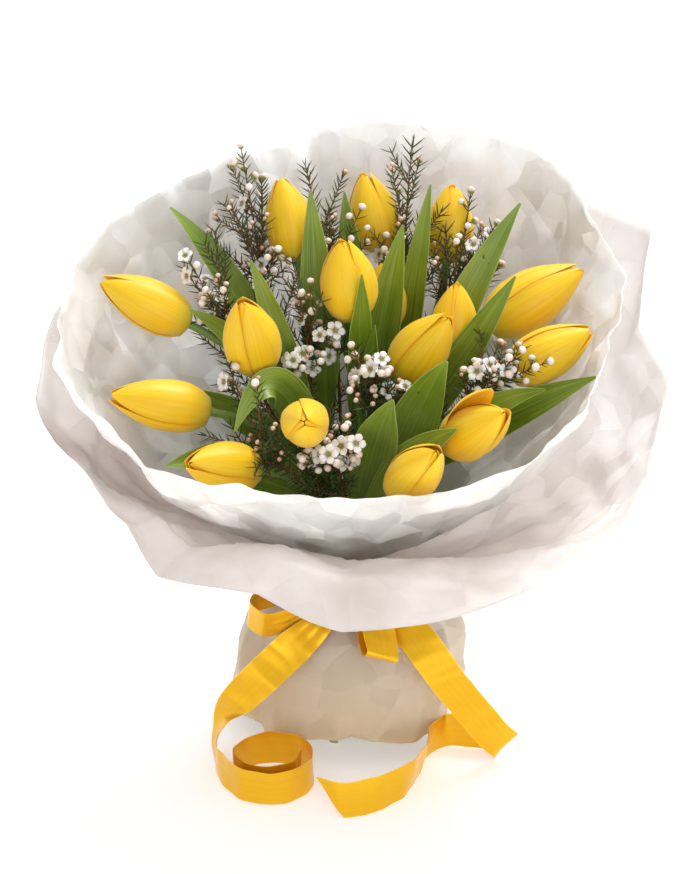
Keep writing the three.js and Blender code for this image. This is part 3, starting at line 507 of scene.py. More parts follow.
petal_yellow, tree, shader = finish_named(
    "tulip petal", Roughness=0.46, Sheen_Weight=0.12,
    Subsurface_Weight=0.22, Subsurface_Scale=0.004, Subsurface_Radius=(1.0, 0.6, 0.06),
)
vein = vein_mask(tree, 26.0, 1.3)
tone = ramp(tree, vein, (0.25, 250, 188, 2), (0.5, 254, 201, 10), (0.78, 255, 212, 34))
foot = ramp(tree, across_along(tree)[1], (0.0, 1), (0.09, 0.55), (0.26, 0))
tone = mixed(tree, foot, tone, colour(206, 196, 74))
rib = ramp(tree, midrib_mask(tree), (0.82, 0), (1.0, 0.25))
tone = mixed(tree, rib, tone, colour(246, 184, 6))
# Painted shade: the colour deepens to orange at both edges of the petal, where the petals overlap
edge = ramp(tree, midrib_mask(tree), (0.0, 0.6), (0.09, 0))
tone = mixed(tree, edge, tone, colour(240, 160, 4))
finished(tree, shader, tone, vein, 0.2, 0.0004)


def petal(turn, long, radius, inner, opened, luck):
    """One petal of a bud that stands on the origin and points up."""
    rows, cols = PETAL_GRID
    half_angle = INNER_HALF_ANGLE if inner else OUTER_HALF_ANGLE
    t = np.linspace(0, 1, rows)
    reach = (INNER_REACH if inner else OUTER_REACH) * (1 + luck.uniform(-0.02, 0.01))
    out = radius * through(BUD_KEYS, INNER_RADII if inner else OUTER_RADII, t)
    narrowing = np.clip((t - 0.4) / 0.6, 0, 1)
    half_width = radius * np.radians(half_angle) * np.clip(1 - narrowing**1.8, 0.02, 1) ** 0.85
    spread = np.minimum(half_width / np.maximum(out, 0.4), np.radians(half_angle + (22 * t if inner else 0)))
    if opened:
        reach = OPEN_REACH
        out = out + radius * OPEN_FLARE * np.clip(t - 0.4, 0, 1)
        spread = half_width / np.maximum(out, 0.4)
    u = np.linspace(-1, 1, cols)
    lap = 1 - 0.035 * np.abs(u) + 0.03 * u
    ridge = 0.022 * np.exp(-((u / 0.2) ** 2))
    curl = luck.uniform(-0.025, 0.035) * np.abs(u) ** 3
    swell = np.sin(math.pi * np.clip(t * 1.05, 0, 1))[:, None]
    r = out[:, None] * (lap[None] + (ridge + curl)[None] * swell)
    wobble = math.radians(luck.uniform(-5, 5))
    angle = math.radians(turn) + spread[:, None] * u[None] + wobble * t[:, None]
    z = long * reach * (t[:, None] - 0.05 * (u[None] ** 2) * swell**2 * t[:, None])
    grid = np.stack([r * np.cos(angle), r * np.sin(angle), z], 2)
    thick = PETAL_THICKNESS * (1 - 0.45 * np.abs(u))[None] * np.ones((rows, 1))
    points, faces, uv, _, _ = shell(grid, thick)
    return points, faces[:, ::-1], uv, luck.random() * 9, 0


for number, (name, ring, slot, head, toward, lean, long, wide, opened) in enumerate(TULIPS):
    luck = random.Random(200 + number)
    stand = Vector(UP).rotation_difference(Vector(heading(toward, lean))).to_matrix()
    shells = []
    for k in range(3):
        turn = 120 * k + 40 * number
        shells.append(petal(turn, long, wide / 2, False, opened == k, luck))
        shells.append(petal(turn + 60, long, wide / 2, True, False, luck))
    shells = [(p @ np.array(stand).T + head, f, uv, tone, m) for p, f, uv, tone, m in shells]
    piece(f"tulip-bloom-{name}", shells, [petal_yellow], f"bloom_{name}")


# Waxflower sprays
# Thin woody twigs fork into branches with paired needles. At their ends stand small waxy white flowers, each
# with five round petals about a green cup, and round white buds, all on short stalks.
TWIG_RINGS = [8.45, 15.7]
TWIG_RADIUS = 1.3
BRANCH_RADIUS = 0.75
TWIG_POINTS = 16
BRANCH_POINTS = 21
STALK = 7
STALK_RADIUS = 0.45
NEEDLE_LONG = 10.5
PAIR_SPACING = 2.7
PAIR_TURN = 97
# Share of its places for needles that a needled twig fills, and one that bears flowers or buds
DENSE = 0.97
SPARSE = 0.7
# How far below its fork a twig is still bare, and how far below it has most of its needles
BARE_BELOW = 75
NEEDLED_ABOVE = 20
# Needled twigs below the fork: how many, how far below it the first stands, how far apart, turned and long
LOW_TWIGS = 8
LOW_TWIG_DROP = 8
LOW_TWIG_SPACING = 9
LOW_TWIG_TURN = 137
LOW_TWIG_LENGTHS = (34, 52)
# Room, in millimetres, that a flower and anything smaller has to have about it
FLOWER_ROOM = 7
ROOM = 4.5
# How far behind the centre of a flower and of a bud its stalk ends, inside the cup
FLOWER_DEPTH = 3.5
BUD_DEPTH = 2.3
# Flowers turn to the front, and a little up
FLOWERS_TURN_TO = np.array([0, -0.9, 0.3])

# Name, ring and slot in the tie, fork, branches: tip, what it bears, swing about the fork
SPRAYS = [
    ("01", 1, 91, (36, 64, 286), [
        (41, 95, 389, "needles", 0), (26, 85, 350, "buds", -14),
        (59, 66, 348, "needles", 0), (14, 60, 335, "buds", 0)]),
    ("02", 0, 55, (62, 47, 266), [
        (79, 80, 352, "buds", 0), (89, 56, 331, "flowers", 0),
        (62, 62, 338, "needles", 0), (84, 34, 322, "flowers", 28)]),
    ("03", 0, 127, (-12, 46, 280), [
        (-31, 80, 376, "needles", 0), (-14, 40, 346, "needles", 0),
        (-45, 76, 345, "flowers", -7), (4, 56, 350, "buds", 0)]),
    ("04", 1, 127, (-58, 46, 288), [
        (-72, 62, 390, "buds", 0), (-83, 45, 362, "needles", 0),
        (-59, 60, 366, "needles", 0), (-50, 30, 333, "buds", 0)]),
    ("05", 1, 163, (-72, 14, 264), [
        (-82, -15, 296, "flowers", -55), (-105, 12, 334, "flowers", 0),
        (-89, 22, 352, "needles", 0), (-92, -4, 318, "buds", 0)]),
    ("06", 0, 199, (-27, -4, 254), [
        (-14, -14, 294, "flowers", 0), (-27, 5, 318, "buds", 0),
        (-38, 14, 333, "needles", 0), (-36, -30, 284, "flowers", 0)]),
    ("07", 1, 235, (-43, -68, 226), [
        (-69, -104, 248, "needles", 14), (-86, -92, 250, "needles", -28),
        (-52, -92, 254, "needles", 0), (-78, -50, 290, "flowers", 0)]),
    ("08", 1, 271, (-8, -70, 222), [
        (-14, -100, 252, "flowers", 0), (-27, -98, 248, "buds", 0),
        (0, -96, 256, "flowers", 0), (-14, -72, 270, "needles", 0)]),
    ("09", 0, 271, (14, -36, 244), [
        (18, -48, 288, "flowers", 0), (2, -44, 296, "buds", 0),
        (40, -56, 276, "flowers", 0), (8, -66, 268, "needles", 0)]),
    ("10", 0, 343, (72, -38, 246), [
        (104, -48, 296, "buds", 0), (86, -46, 284, "flowers", 0),
        (120, -52, 292, "buds", 0), (84, -8, 292, "flowers", 0)]),
]

# What each kind of branch bears: at which share of its length, and turned how far round it
BEARS = {
    "needles": [],
    "flowers": [
        ("flower", 1, 0), ("flower", 0.82, 60), ("bud", 0.72, 230),
        ("flower", 0.9, 160), ("bud", 0.95, 300), ("flower", 0.66, 330),
    ],
    "buds": [
        ("bud", 1, 0), ("bud", 0.9, 90), ("bud", 0.8, 270),
        ("bud", 0.97, 200), ("flower", 0.72, 150), ("bud", 0.84, 20),
    ],
}

# Where the needled side twigs stand on each kind of branch, and turned how far round it
SIDE_TWIGS = {
    "needles": [(0.15, 20), (0.3, 150), (0.45, 270), (0.6, 30), (0.75, 160)],
    "flowers": [(0.15, 60), (0.3, 200), (0.45, 320), (0.55, 110)],
    "buds": [(0.2, 80), (0.35, 220), (0.5, 340), (0.65, 130)],
}
# The number by which the guide tells the tree what stands on a point
HEADS = {"flower": 1, "bud": 2}

# A flower's petal and cup, and a bud: half widths along the petal, and height and radius of each ring
PETAL_SHARES = [0, 0.3, 0.62, 0.88, 1]
PETAL_HALF_WIDTHS = [0.9, 2.2, 2.75, 2.1, 0.8]
CUP = [(-4.0, 0.5), (-2.6, 1.5), (-0.9, 2.15), (0.5, 2.35), (0.55, 1.75), (0.05, 1.2), (0.0, 0.2)]
STAMENS = 10
BUD = [(-2.6, 0.5), (-1.9, 1.5), (-1.0, 2.3), (-0.2, 2.5), (0.5, 2.75), (1.4, 2.6), (2.2, 1.9), (2.75, 0.7)]
BUD_FOOT, BUD_TOP = -2.7, 2.9


def across_of(way, turn):
    """A unit vector square to a way, turned about it by this many degrees."""
    side = np.array([1, 0.2, 0.1])
    side = unit(side - way * side.dot(way))
    return np.array(Quaternion(Vector(way), math.radians(turn)) @ Vector(side))


def mesh_only(name, shells, part):
    """A mesh in metres for the tree to place, with the number of each shell's part, for the material."""
    points, faces = joined(shells)
    mesh = bpy.data.meshes.new(name)
    mesh.from_pydata((points / 1000).tolist(), [], faces)
    store(mesh, "part", np.concatenate([np.full(len(s[0]), p) for s, p in zip(shells, part)]))
    mesh.polygons.foreach_set("use_smooth", np.ones(len(mesh.polygons), bool))
    return bpy.data.objects.new(name, mesh)


def lathed(rings, sides, foot, top):
    """A closed round body through rings of (height, radius), with the heights of its two poles."""
    line = [(0, 0, 0.001 * i) for i in range(len(rings))]
    points, faces, uv, _, _ = tube(line, [r for _, r in rings], sides)
    turn = np.arange(sides) * 2 * math.pi / sides
    for i, (z, r) in enumerate(rings):
        ring = [r * np.cos(turn), r * np.sin(turn), np.full(sides, z)]
        points[i * sides : (i + 1) * sides] = np.stack(ring, 1)
    points[-2], points[-1] = (0, 0, foot), (0, 0, top)
    return points, faces, uv, 0, 0


def needle_pair():
    shells = []
    t = np.linspace(0, 1, 4)[:, None]
    for way in (-1, 1):
        out = way * NEEDLE_LONG * (0.62 * t + 0.1 * t**2)
        line = np.concatenate([out, 0 * t, NEEDLE_LONG * (0.55 * t + 0.15 * t**2)], 1)
        shells.append(tube(line, [0.45, 0.6, 0.5, 0.12], 3))
    return mesh_only("needle pair", shells, [0, 0])


def flower_head():
    """A flower whose cup is centred on the origin and opens upwards."""
    shells = []
    t = np.linspace(0, 1, 5)
    u = np.linspace(-1, 1, 5)
    x = (1.7 + 4.9 * t)[:, None] - 0.5 * (u**2)[None] * t[:, None]
    y = np.interp(t, PETAL_SHARES, PETAL_HALF_WIDTHS)[:, None] * u[None]
    z = 0.4 + 1.1 * np.sin(2.4 * t)[:, None] + 0.45 * (u**2)[None] - 0.2
    for k in range(5):
        a = 2 * math.pi * k / 5
        lap = 0.12 * (k % 2)
        grid = np.stack([x * math.cos(a) - y * math.sin(a), x * math.sin(a) + y * math.cos(a), z + lap], 2)
        shells.append(shell(grid, np.full(grid.shape[:2], 0.35)))
    shells.append(lathed(CUP, 10, CUP[0][0], CUP[-1][0]))
    for k in range(STAMENS):
        a = 2 * math.pi * (k + 0.5) / STAMENS
        way = np.array([math.cos(a), math.sin(a), 0])
        line = [way * 2.0 + UP * 0.4, way * 1.95 + UP * 1.3, way * 1.6 + UP * 1.75]
        shells.append(tube(line, [0.16, 0.14, 0.3], 3))
    shells.append(tube([(0, 0, 0), (0, 0, 1.4)], [0.25, 0.18], 4))
    return mesh_only("waxflower head", shells, [0] * 5 + [0.5] + [0.85] * STAMENS + [0.6])


def bud_head():
    """A round bud on its green cup, centred on the origin."""
    body = lathed(BUD, 9, BUD_FOOT, BUD_TOP)
    head = mesh_only("waxflower bud", [body], [0])
    share = np.interp(body[0][:, 2], [BUD_FOOT, -0.9, -0.2, BUD_TOP], [0.5, 0.5, 0.12, 0.0])
    head.data.attributes["part"].data.foreach_set("value", share.astype(np.float32))
    return head


twig_bark, tree, shader = finish_named("waxflower twig", Roughness=0.7)
grain = clouds(tree, 420.0, 3.0)
tone = ramp(tree, grain, (0.3, 98, 52, 34), (0.55, 132, 84, 50), (0.75, 140, 122, 62))
finished(tree, shader, tone, grain, 0.5, 0.0003)

needle_green, tree, shader = finish_named("waxflower needle", Roughness=0.5)
patches = clouds(tree, 60.0)
tone = ramp(tree, patches, (0.3, 44, 60, 24), (0.55, 62, 80, 34), (0.75, 96, 104, 48))
tree.links.new(tone, shader.inputs["Base Color"])
tree.links.new(ramp(tree, patches, (0.3, 0.4), (0.8, 0.65)), shader.inputs["Roughness"])

flower_white, tree, shader = finish_named(
    "waxflower bloom", Roughness=0.38, Subsurface_Weight=0.2, Subsurface_Scale=0.002
)
part = stored(tree, "part")
tone = ramp(
    tree, part,
    (0.0, 246, 240, 236), (0.1, 234, 214, 200), (0.3, 180, 192, 96),
    (0.5, 134, 150, 52), (0.6, 150, 120, 70), (0.85, 206, 164, 134),
)
blush = clouds(tree, 240.0)
tone = mixed(tree, ramp(tree, blush, (0.45, 0), (0.75, 0.4)), tone, colour(226, 196, 190))
young = ramp(tree, stored(tree, "ripe"), (0.5, 0.85), (0.8, 0))
young = mixed(tree, 1.0, young, ramp(tree, part, (0.15, 1), (0.35, 0)), "MULTIPLY")
tone = mixed(tree, young, tone, colour(190, 118, 92))
finished(tree, shader, tone, blush, 0.15, 0.0003)

# The tree that makes wood of a guide's lines, and puts needles along them and heads on its loose points
spray_tree = bpy.data.node_groups.new("waxflower spray", "GeometryNodeTree")
for label, kind, value in (
    ("Geometry", "Geometry", None),
    ("Pair spacing", "Float", PAIR_SPACING / 1000),
    ("Pair turn", "Float", math.radians(PAIR_TURN)),
    ("Needles", "Object", None),
    ("Flower", "Object", None),
    ("Bud", "Object", None),
    ("Seed", "Int", 1),
):
    socket = spray_tree.interface.new_socket(label, in_out="INPUT", socket_type="NodeSocket" + kind)
    if value is not None:
        socket.default_value = value
spray_tree.interface.new_socket("Geometry", in_out="OUTPUT", socket_type="NodeSocketGeometry")
asked = spray_tree.nodes.new("NodeGroupInput").outputs
result = spray_tree.nodes.new("NodeGroupOutput")


def grow(kind, inputs=None, output=0, **settings):
    """One output of a new node in the spray's tree."""
    return add_node(spray_tree, kind, inputs, **settings).outputs[output]


def carried(name, kind="FLOAT"):
    """The value that each point of the guide carries under this name."""
    return grow("GeometryNodeInputNamedAttribute", {"Name": name}, "Attribute", data_type=kind)


def drawn(low, high):
    """A number drawn evenly between two bounds for each point."""
    return grow("FunctionNodeRandomValue", {2: low, 3: high, "Seed": asked["Seed"]}, 1, data_type="FLOAT")


def made_of(geometry, material):
    return grow("GeometryNodeSetMaterial", {"Geometry": geometry, "Material": material})


def planted(points, chosen, label, turn, size, material):
    """One of the spray's shapes on each chosen point, as plain mesh."""
    shape = grow("GeometryNodeObjectInfo", {"Object": asked[label]}, "Geometry")
    copies = {"Points": points, "Selection": chosen, "Instance": shape, "Rotation": turn, "Scale": size}
    plain = grow("GeometryNodeRealizeInstances", {0: grow("GeometryNodeInstanceOnPoints", copies)})
    return made_of(plain, material)


curves = grow("GeometryNodeMeshToCurve", {0: asked["Geometry"]})
profile = grow("GeometryNodeCurvePrimitiveCircle", {"Resolution": 6, "Radius": 0.001})
swept = {"Curve": curves, "Profile Curve": profile, "Fill Caps": True, "Scale": carried("thick")}
wood = made_of(grow("GeometryNodeCurveToMesh", swept), twig_bark)

spaced = grow("GeometryNodeResampleCurve", {"Curve": curves, "Length": asked["Pair spacing"]}, mode="LENGTH")
upright = grow("FunctionNodeAlignRotationToVector", {"Vector": grow("GeometryNodeInputTangent")}, axis="Z")
turns = {0: grow("GeometryNodeInputIndex"), 1: asked["Pair turn"], 2: drawn(-0.4, 0.4)}
about = grow("ShaderNodeMath", turns, operation="MULTIPLY_ADD")
spin = grow("FunctionNodeAxisAngleToRotation", {"Axis": (0, 0, 1), "Angle": about})
spun = grow("FunctionNodeRotateRotation", {"Rotation": upright, "Rotate By": spin}, rotation_space="LOCAL")
lot = {0: carried("needled"), 1: drawn(0.0, 1.0)}
needled = grow("FunctionNodeCompare", lot, data_type="FLOAT", operation="GREATER_THAN")
grown = [wood, planted(spaced, needled, "Needles", spun, drawn(0.62, 1.05), needle_green)]
for what, label in (("flower", "Flower"), ("bud", "Bud")):
    aimed = {"Vector": carried("facing", "FLOAT_VECTOR")}
    aimed = grow("FunctionNodeAlignRotationToVector", aimed, axis="Z")
    same = {0: carried("head"), 1: HEADS[what], 12: 0.1}
    chosen = grow("FunctionNodeCompare", same, data_type="FLOAT", operation="EQUAL")
    size = grow("ShaderNodeMath", {0: drawn(0.86, 1.04), 1: carried("ripe")}, operation="MULTIPLY")
    grown.append(planted(asked["Geometry"], chosen, label, aimed, size, flower_white))
everything = add_node(spray_tree, "GeometryNodeJoinGeometry")
for part in grown:
    spray_tree.links.new(part, everything.inputs[0])
spray_tree.links.new(everything.outputs[0], result.inputs[0])

PATTERNS = {"Needles": needle_pair(), "Flower": flower_head(), "Bud": bud_head()}
for pattern in PATTERNS.values():
    bpy.context.scene.collection.objects.link(pattern)


def guide(lines, heads):
    """The mesh of lines (points, thickness, share with needles) and heads (place, kind, facing, ripeness)."""
    places = []
    edges = []
    thick = []
    needled = []
    for points, radii, share in lines:
        edges += [(len(places) + i, len(places) + i + 1) for i in range(len(points) - 1)]
        places += [tuple((p + AXIS) / 1000) for p in points]
        thick += list(radii)
        needled += list(share)
    facing = [(0, 0, 1)] * len(places)
    kinds = [0] * len(places)
    ripe = [1] * len(places)
    for place, kind, way, share in heads:
        places.append(tuple((place + AXIS) / 1000))
        facing.append(tuple(way))
        kinds.append(kind)
        ripe.append(share)
        thick.append(1)
        needled.append(0)
    mesh = bpy.data.meshes.new("guide")
    mesh.from_pydata(places, edges, [])
    for name, values in (("thick", thick), ("needled", needled), ("head", kinds), ("ripe", ripe)):
        store(mesh, name, values)
    facing = np.array(facing, np.float32).ravel()
    mesh.attributes.new("facing", "FLOAT_VECTOR", "POINT").data.foreach_set("vector", facing)
    return mesh


def spray_mesh(name, number, lines, heads):
    """One spray grown from its guide by the tree, as a plain mesh."""
    grown = bpy.data.objects.new("growing spray", guide(lines, heads))
    bpy.context.scene.collection.objects.link(grown)
    modifier = grown.modifiers.new("spray", "NODES")
    modifier.node_group = spray_tree
    given = {**PATTERNS, "Seed": number + 1}
    for item in spray_tree.interface.items_tree:
        if item.in_out == "INPUT" and item.name in given:
            modifier[item.identifier] = given[item.name]
    bpy.context.view_layer.update()
    mesh = bpy.data.meshes.new_from_object(grown.evaluated_get(bpy.context.evaluated_depsgraph_get()))
    places = np.empty(len(mesh.vertices) * 3, np.float32)
    mesh.vertices.foreach_get("co", places)
    places[2::3] = np.maximum(places[2::3], 0)
    mesh.vertices.foreach_set("co", places)
    mesh.name = name
    bpy.data.objects.remove(grown)
    return mesh


NEIGHBOURS = {}
for name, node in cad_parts.items():
    if not name.startswith(("wrap", "ribbon")):
        corners = [v.co for v in node.data.vertices]
        NEIGHBOURS[name] = BVHTree.FromPolygons(corners, [tuple(f.vertices) for f in node.data.polygons])


def crowded(point, own, room=ROOM):
    """Whether a place is too near a bloom, a leaf or another spray for a flower to stand there."""
    place = Vector((point + AXIS) / 1000)
    return any(name != own and tree.find_nearest(place, room / 1000)[0] for name, tree in NEIGHBOURS.items())


def side_twig(lines, own, start, out, long, lift, count, rooms=(ROOM, ROOM)):
    """Adds a needled side twig where there is room, and gives its tip and its way there."""
    tip = start + out * long + UP * long * lift
    if crowded(tip, own, rooms[0]) or crowded(start + out * long * 0.6, own, rooms[1]):
        return None
    line, way = bezier([start, start + out * long * 0.5, tip], count)
    thick = np.linspace(0.8, 0.45, count) * BRANCH_RADIUS
    lines.append((line, thick, np.interp(np.arange(count), [0, 2], [0, DENSE])))
    return tip, way[-1]


def branch(fork, end, tip, order, kind, lines):
    """Adds a branch of a spray from its fork to a tip, and gives its points and its ways there."""
    root = fork - end * (2 + order)
    middle = root + end * 0.45 * np.linalg.norm(tip - root)
    curve, way = bezier([root, middle, tip], BRANCH_POINTS)
    dense = DENSE if kind == "needles" else SPARSE
    share = np.interp(np.linspace(0, 1, BRANCH_POINTS), [0.05, 0.2, 1], [0, dense, dense])
    lines.append((curve, np.linspace(1.2, 0.5, BRANCH_POINTS) * BRANCH_RADIUS, share))
    return curve, way


def heads_along(curve, way, kind, own, lines, heads):
    """Adds the flowers and buds that a branch bears, each on its stalk, where there is room."""
    for what, t, turn in BEARS[kind]:
        spot = round(t * (BRANCH_POINTS - 1))
        along = way[spot]
        start = curve[spot] - along
        out = along if t == 1 else unit(along * 0.5 + across_of(along, turn) * 0.87)
        centre = start + out * STALK
        if crowded(centre, own, FLOWER_ROOM if what == "flower" else ROOM):
            continue
        facing = unit(out + FLOWERS_TURN_TO) if what == "flower" else out
        stem_end = centre - facing * (FLOWER_DEPTH if what == "flower" else BUD_DEPTH)
        stalk = np.array([start, (start + stem_end) / 2 + along * 0.4, stem_end])
        lines.append((stalk, [STALK_RADIUS] * 3, [0] * 3))
        heads.append((centre, HEADS[what], facing, 1))


def twigs_along(curve, way, kind, own, luck, lines, heads):
    """Adds a branch's side twigs, and two buds at the tip of each, or of about half on a needled branch."""
    for t, turn in SIDE_TWIGS[kind]:
        spot = round(t * (BRANCH_POINTS - 1))
        start = curve[spot]
        out = unit(way[spot] * 0.8 + across_of(way[spot], turn + luck.uniform(-40, 40)) * 0.6)
        long = np.linalg.norm(curve[-1] - start) * luck.uniform(0.5, 0.75)
        twig = side_twig(lines, own, start, out, long, 0.15, 9)
        if not twig or (kind == "needles" and luck.random() < 0.5):
            continue
        tip, along = twig
        for side in (60, 240):
            out = unit(along + across_of(along, side) * (0.4 if kind == "needles" else 0.55))
            small = luck.uniform(0.5, 0.72) if luck.random() < 0.6 or kind == "needles" else 1
            centre = tip + out * STALK * 0.8
            if not crowded(centre, own):
                lines.append((np.array([tip, centre - out * BUD_DEPTH * small]), [STALK_RADIUS] * 2, [0] * 2))
                heads.append((centre, HEADS["bud"], out, small))


for number, (name, ring, slot, fork, branches) in enumerate(SPRAYS):
    own = f"waxflower_{name}"
    luck = random.Random(300 + number)
    fork = np.array(fork, float)
    end = unit(sum(unit(np.array(b[:3]) - fork) for b in branches))
    line = stem_line(TWIG_RINGS[ring], slot, fork, end, TWIG_POINTS)
    needled = np.interp(line[:, 2], [fork[2] - BARE_BELOW, fork[2] - NEEDLED_ABOVE], [0, 0.8])
    lines = [(line, thinning(line, TWIG_RADIUS, TWIG_RADIUS * 0.85), needled)]
    heads = []
    for step in range(LOW_TWIGS):
        start = at_height(line, fork[2] - LOW_TWIG_DROP - LOW_TWIG_SPACING * step)
        out = unit(end * 0.75 + across_of(end, LOW_TWIG_TURN * step + 40 * number) * 0.66)
        side_twig(lines, own, start, out, luck.uniform(*LOW_TWIG_LENGTHS), 0.2, 11, (3, 2))
    for order, (x, y, z, kind, swing) in enumerate(branches):
        tip = fork + turned(np.array([x, y, z]) - fork, swing)
        curve, way = branch(fork, end, tip, order, kind, lines)
        heads_along(curve, way, kind, own, lines, heads)
        twigs_along(curve, way, kind, own, luck, lines, heads)
    mesh = spray_mesh(f"waxflower-spray-{name}", number, lines, heads)
    stand_for(bpy.data.objects.new(mesh.name, mesh), own)
for pattern in PATTERNS.values():
    bpy.data.objects.remove(pattern)


# Binding twine
# The florist winds soft jute twine round the stems and knots it before the paper goes on. It is two-ply,
# about 1.5 mm thick, and lies in three turns at the tie.
TWINE_WINDING = 18.5
TWINE_TURNS = 3
TWINE_RISE = 2.8
POINTS_A_TURN = 72
PLY_RADIUS = 0.3844
PLY_OFFSET = 0.35
TWISTS_A_TURN = 12

twine_brown, tree, shader = finish_named("jute twine", Roughness=0.9)
fibre = clouds(tree, 900.0, 4.0)
finished(tree, shader, ramp(tree, fibre, (0.3, 128, 100, 60), (0.7, 196, 166, 112)), fibre, 0.6, 0.0003)

shells = []
for ply in range(2):
    steps = np.linspace(0, TWINE_TURNS * 2 * math.pi, TWINE_TURNS * POINTS_A_TURN)
    twist = steps * TWISTS_A_TURN + ply * math.pi
    out = TWINE_WINDING + PLY_OFFSET * np.cos(twist)
    height = TIE_HEIGHT - TWINE_RISE / 2 + TWINE_RISE * steps / steps[-1] + PLY_OFFSET * np.sin(twist)
    line = np.stack([out * np.cos(steps), out * np.sin(steps), height], 1)
    shells.append(tube(line, np.full(len(steps), PLY_RADIUS), 6))
piece("binding-twine", shells, [twine_brown], "binding_twine")


# Tissue sheets
# Two square sheets of thin white tissue, a little see-through, are gathered in the tie. The inner one stands
# up behind the flowers, the outer one opens lower and wider, and below the tie both spread again as a skirt.
TISSUE_THICKNESS = 0.3
SHEET_ROWS, SHEET_COLS = 92, 420
# Corners of each upper edge and hem, from the right (0) round the back (90): azimuth, radius and height
INNER_RIM = [
    (0, 171, 322), (20, 176, 343), (42, 173, 374), (58, 170, 378), (88, 150, 385), (108, 146, 372),
    (126, 142, 369), (146, 152, 358), (166, 172, 342), (182, 190, 316), (205, 190, 284), (225, 176, 260),
    (270, 140, 240), (315, 160, 262), (338, 176, 296),
]
OUTER_RIM = [
    (0, 205, 256), (10, 194, 278), (21, 216, 330), (38, 196, 338), (60, 186, 346), (90, 168, 352),
    (135, 184, 330), (164, 202, 284), (180, 209, 243), (199, 188, 229), (222, 188, 218), (231, 190, 194),
    (252, 185, 197), (268, 184, 176), (275, 184, 176), (293, 188, 182), (310, 194, 189), (320, 198, 201),
    (330, 202, 217), (347, 207, 230),
]
OUTER_HEM = [
    (0, 76, 30), (30, 79, 12), (90, 79, 12), (150, 80, 12), (184, 88, 17), (222, 79, 11), (243, 78, 19),
    (270, 74.5, 24), (303, 78.4, 14), (326, 78.4, 15), (340, 77, 30),
]
INNER_HEM = [(0, 64, 40)]
# Each row of a collar: its share of the way out and up, and how far the front of the outer one rolls up
COLLAR_ROWS = [
    (0, 0, 0), (0.02, 0.05, 0), (0.16, 0.14, 6), (0.38, 0.3, 21),
    (0.64, 0.5, 37), (0.86, 0.74, 32), (1, 1, 0),
]
ROLL_NARROWING = 1.2
# Where the outer sheet laps over itself: from and to azimuth, share of the way out at both, and height
LAPS = [
    (258, 338, 0.5, 0.84, 4.2), (192, 266, 0.88, 0.6, 4.0),
    (205, 290, 0.34, 0.4, 2.6), (100, 190, 0.5, 0.8, 3.6),
]
# Millimetres past its line over which a lap stands up, comes to count as double, and lies down again
LAP_RISE = 2
DOUBLE_RISE = 3
LAP_FALL = 40
# Radius and height of each sheet where it leaves the tie, and of two rows further down its skirt
INNER_SKIRT = [(20.6, 106), (38, 93), (58, 74)]
OUTER_SKIRT = [(22.4, 112), (46, 102), (67, 84)]
COLLAR_FOOT = 5
# Pleats round a sheet, their height on the collar and skirt, and the smooth part of the front
PLEATS = 11
COLLAR_PLEAT = 4
PLEAT_DROP = 0.6
SKIRT_PLEAT = 5
SKIRT_REACH = 60
FRONT = 270
FRONT_WIDTH = 62
FRONT_SMOOTHING = 0.8
# Length round a sheet that its crumples are spread over
GIRTH = 940

# Flat facets with crisp creases between them, as in paper crumpled and smoothed out: a height in metres
facets, given, result = new_group("crumpled facets", {"Scale": 20.0, "Slope": 0.2}, ("Height",))
spot = add_node(facets, "ShaderNodeTexCoord").outputs["Object"]
cell = {"Vector": spot, "Scale": given.outputs["Scale"]}
cell = add_node(facets, "ShaderNodeTexVoronoi", cell, feature="F1").outputs
from_middle = {0: spot, 1: cell["Position"]}
from_middle = add_node(facets, "ShaderNodeVectorMath", from_middle, operation="SUBTRACT").outputs[0]
tilt = {0: cell["Color"], 1: (0.5,) * 3}
tilt = add_node(facets, "ShaderNodeVectorMath", tilt, operation="SUBTRACT").outputs[0]
rise = {0: from_middle, 1: tilt}
rise = add_node(facets, "ShaderNodeVectorMath", rise, operation="DOT_PRODUCT").outputs["Value"]
facets.links.new(maths(facets, "MULTIPLY", rise, given.outputs["Slope"]), result.inputs["Height"])

tissue_white, tree, shader = finish_named(
    "white tissue",
    Roughness=0.45, Subsurface_Weight=0.85, Subsurface_Scale=0.002, Subsurface_Radius=(1.0, 0.93, 0.88),
)
spot = add_node(tree, "ShaderNodeTexCoord").outputs["Object"]
height = add_node(tree, "ShaderNodeSeparateXYZ", {0: spot}).outputs[2]
ends = {"Value": height, "From Min": 0.06, "From Max": 0.14, "To Min": 1.0, "To Max": 0.0}
below = add_node(tree, "ShaderNodeMapRange", ends).outputs[0]
outer_painted_shade = stored(tree, "tone")
# The inner sheet and both skirts are more crushed than the outer collar
calm = maths(tree, "SUBTRACT", outer_painted_shade, below, clamped=True)
relief = maths(tree, "MULTIPLY", clouds(tree, 420.0, 3.0), 0.0001)
for scale, crushed_slope, calm_slope in ((17.0, 0.62, 0.34), (46.0, 0.5, 0.16)):
    ends = {"Value": calm, "To Min": crushed_slope, "To Max": calm_slope}
    slope = add_node(tree, "ShaderNodeMapRange", ends).outputs[0]
    folds = add_node(tree, "ShaderNodeGroup", {"Slope": slope}, node_tree=facets)
    folds.inputs["Scale"].default_value = scale
    relief = maths(tree, "ADD", relief, folds.outputs["Height"])
cloud = clouds(tree, 24.0, 3.0)
inner = ramp(tree, cloud, (0.3, 242, 236, 232), (0.7, 252, 248, 245))
# Painted shade: the outer sheet's ramp is the same white tissue coloured far darker than the inner's
outer = ramp(tree, cloud, (0.3, 156, 146, 142), (0.7, 186, 175, 171))
tone = mixed(tree, outer_painted_shade, inner, outer)
# Painted see-through: below the tie the skirt is coloured tan, for the stems and ribbon showing through it
painted_see_through = mixed(tree, 0.75, tone, colour(238, 202, 164))
finished(tree, shader, mixed(tree, below, tone, painted_see_through), relief, 1.0, 1.0)


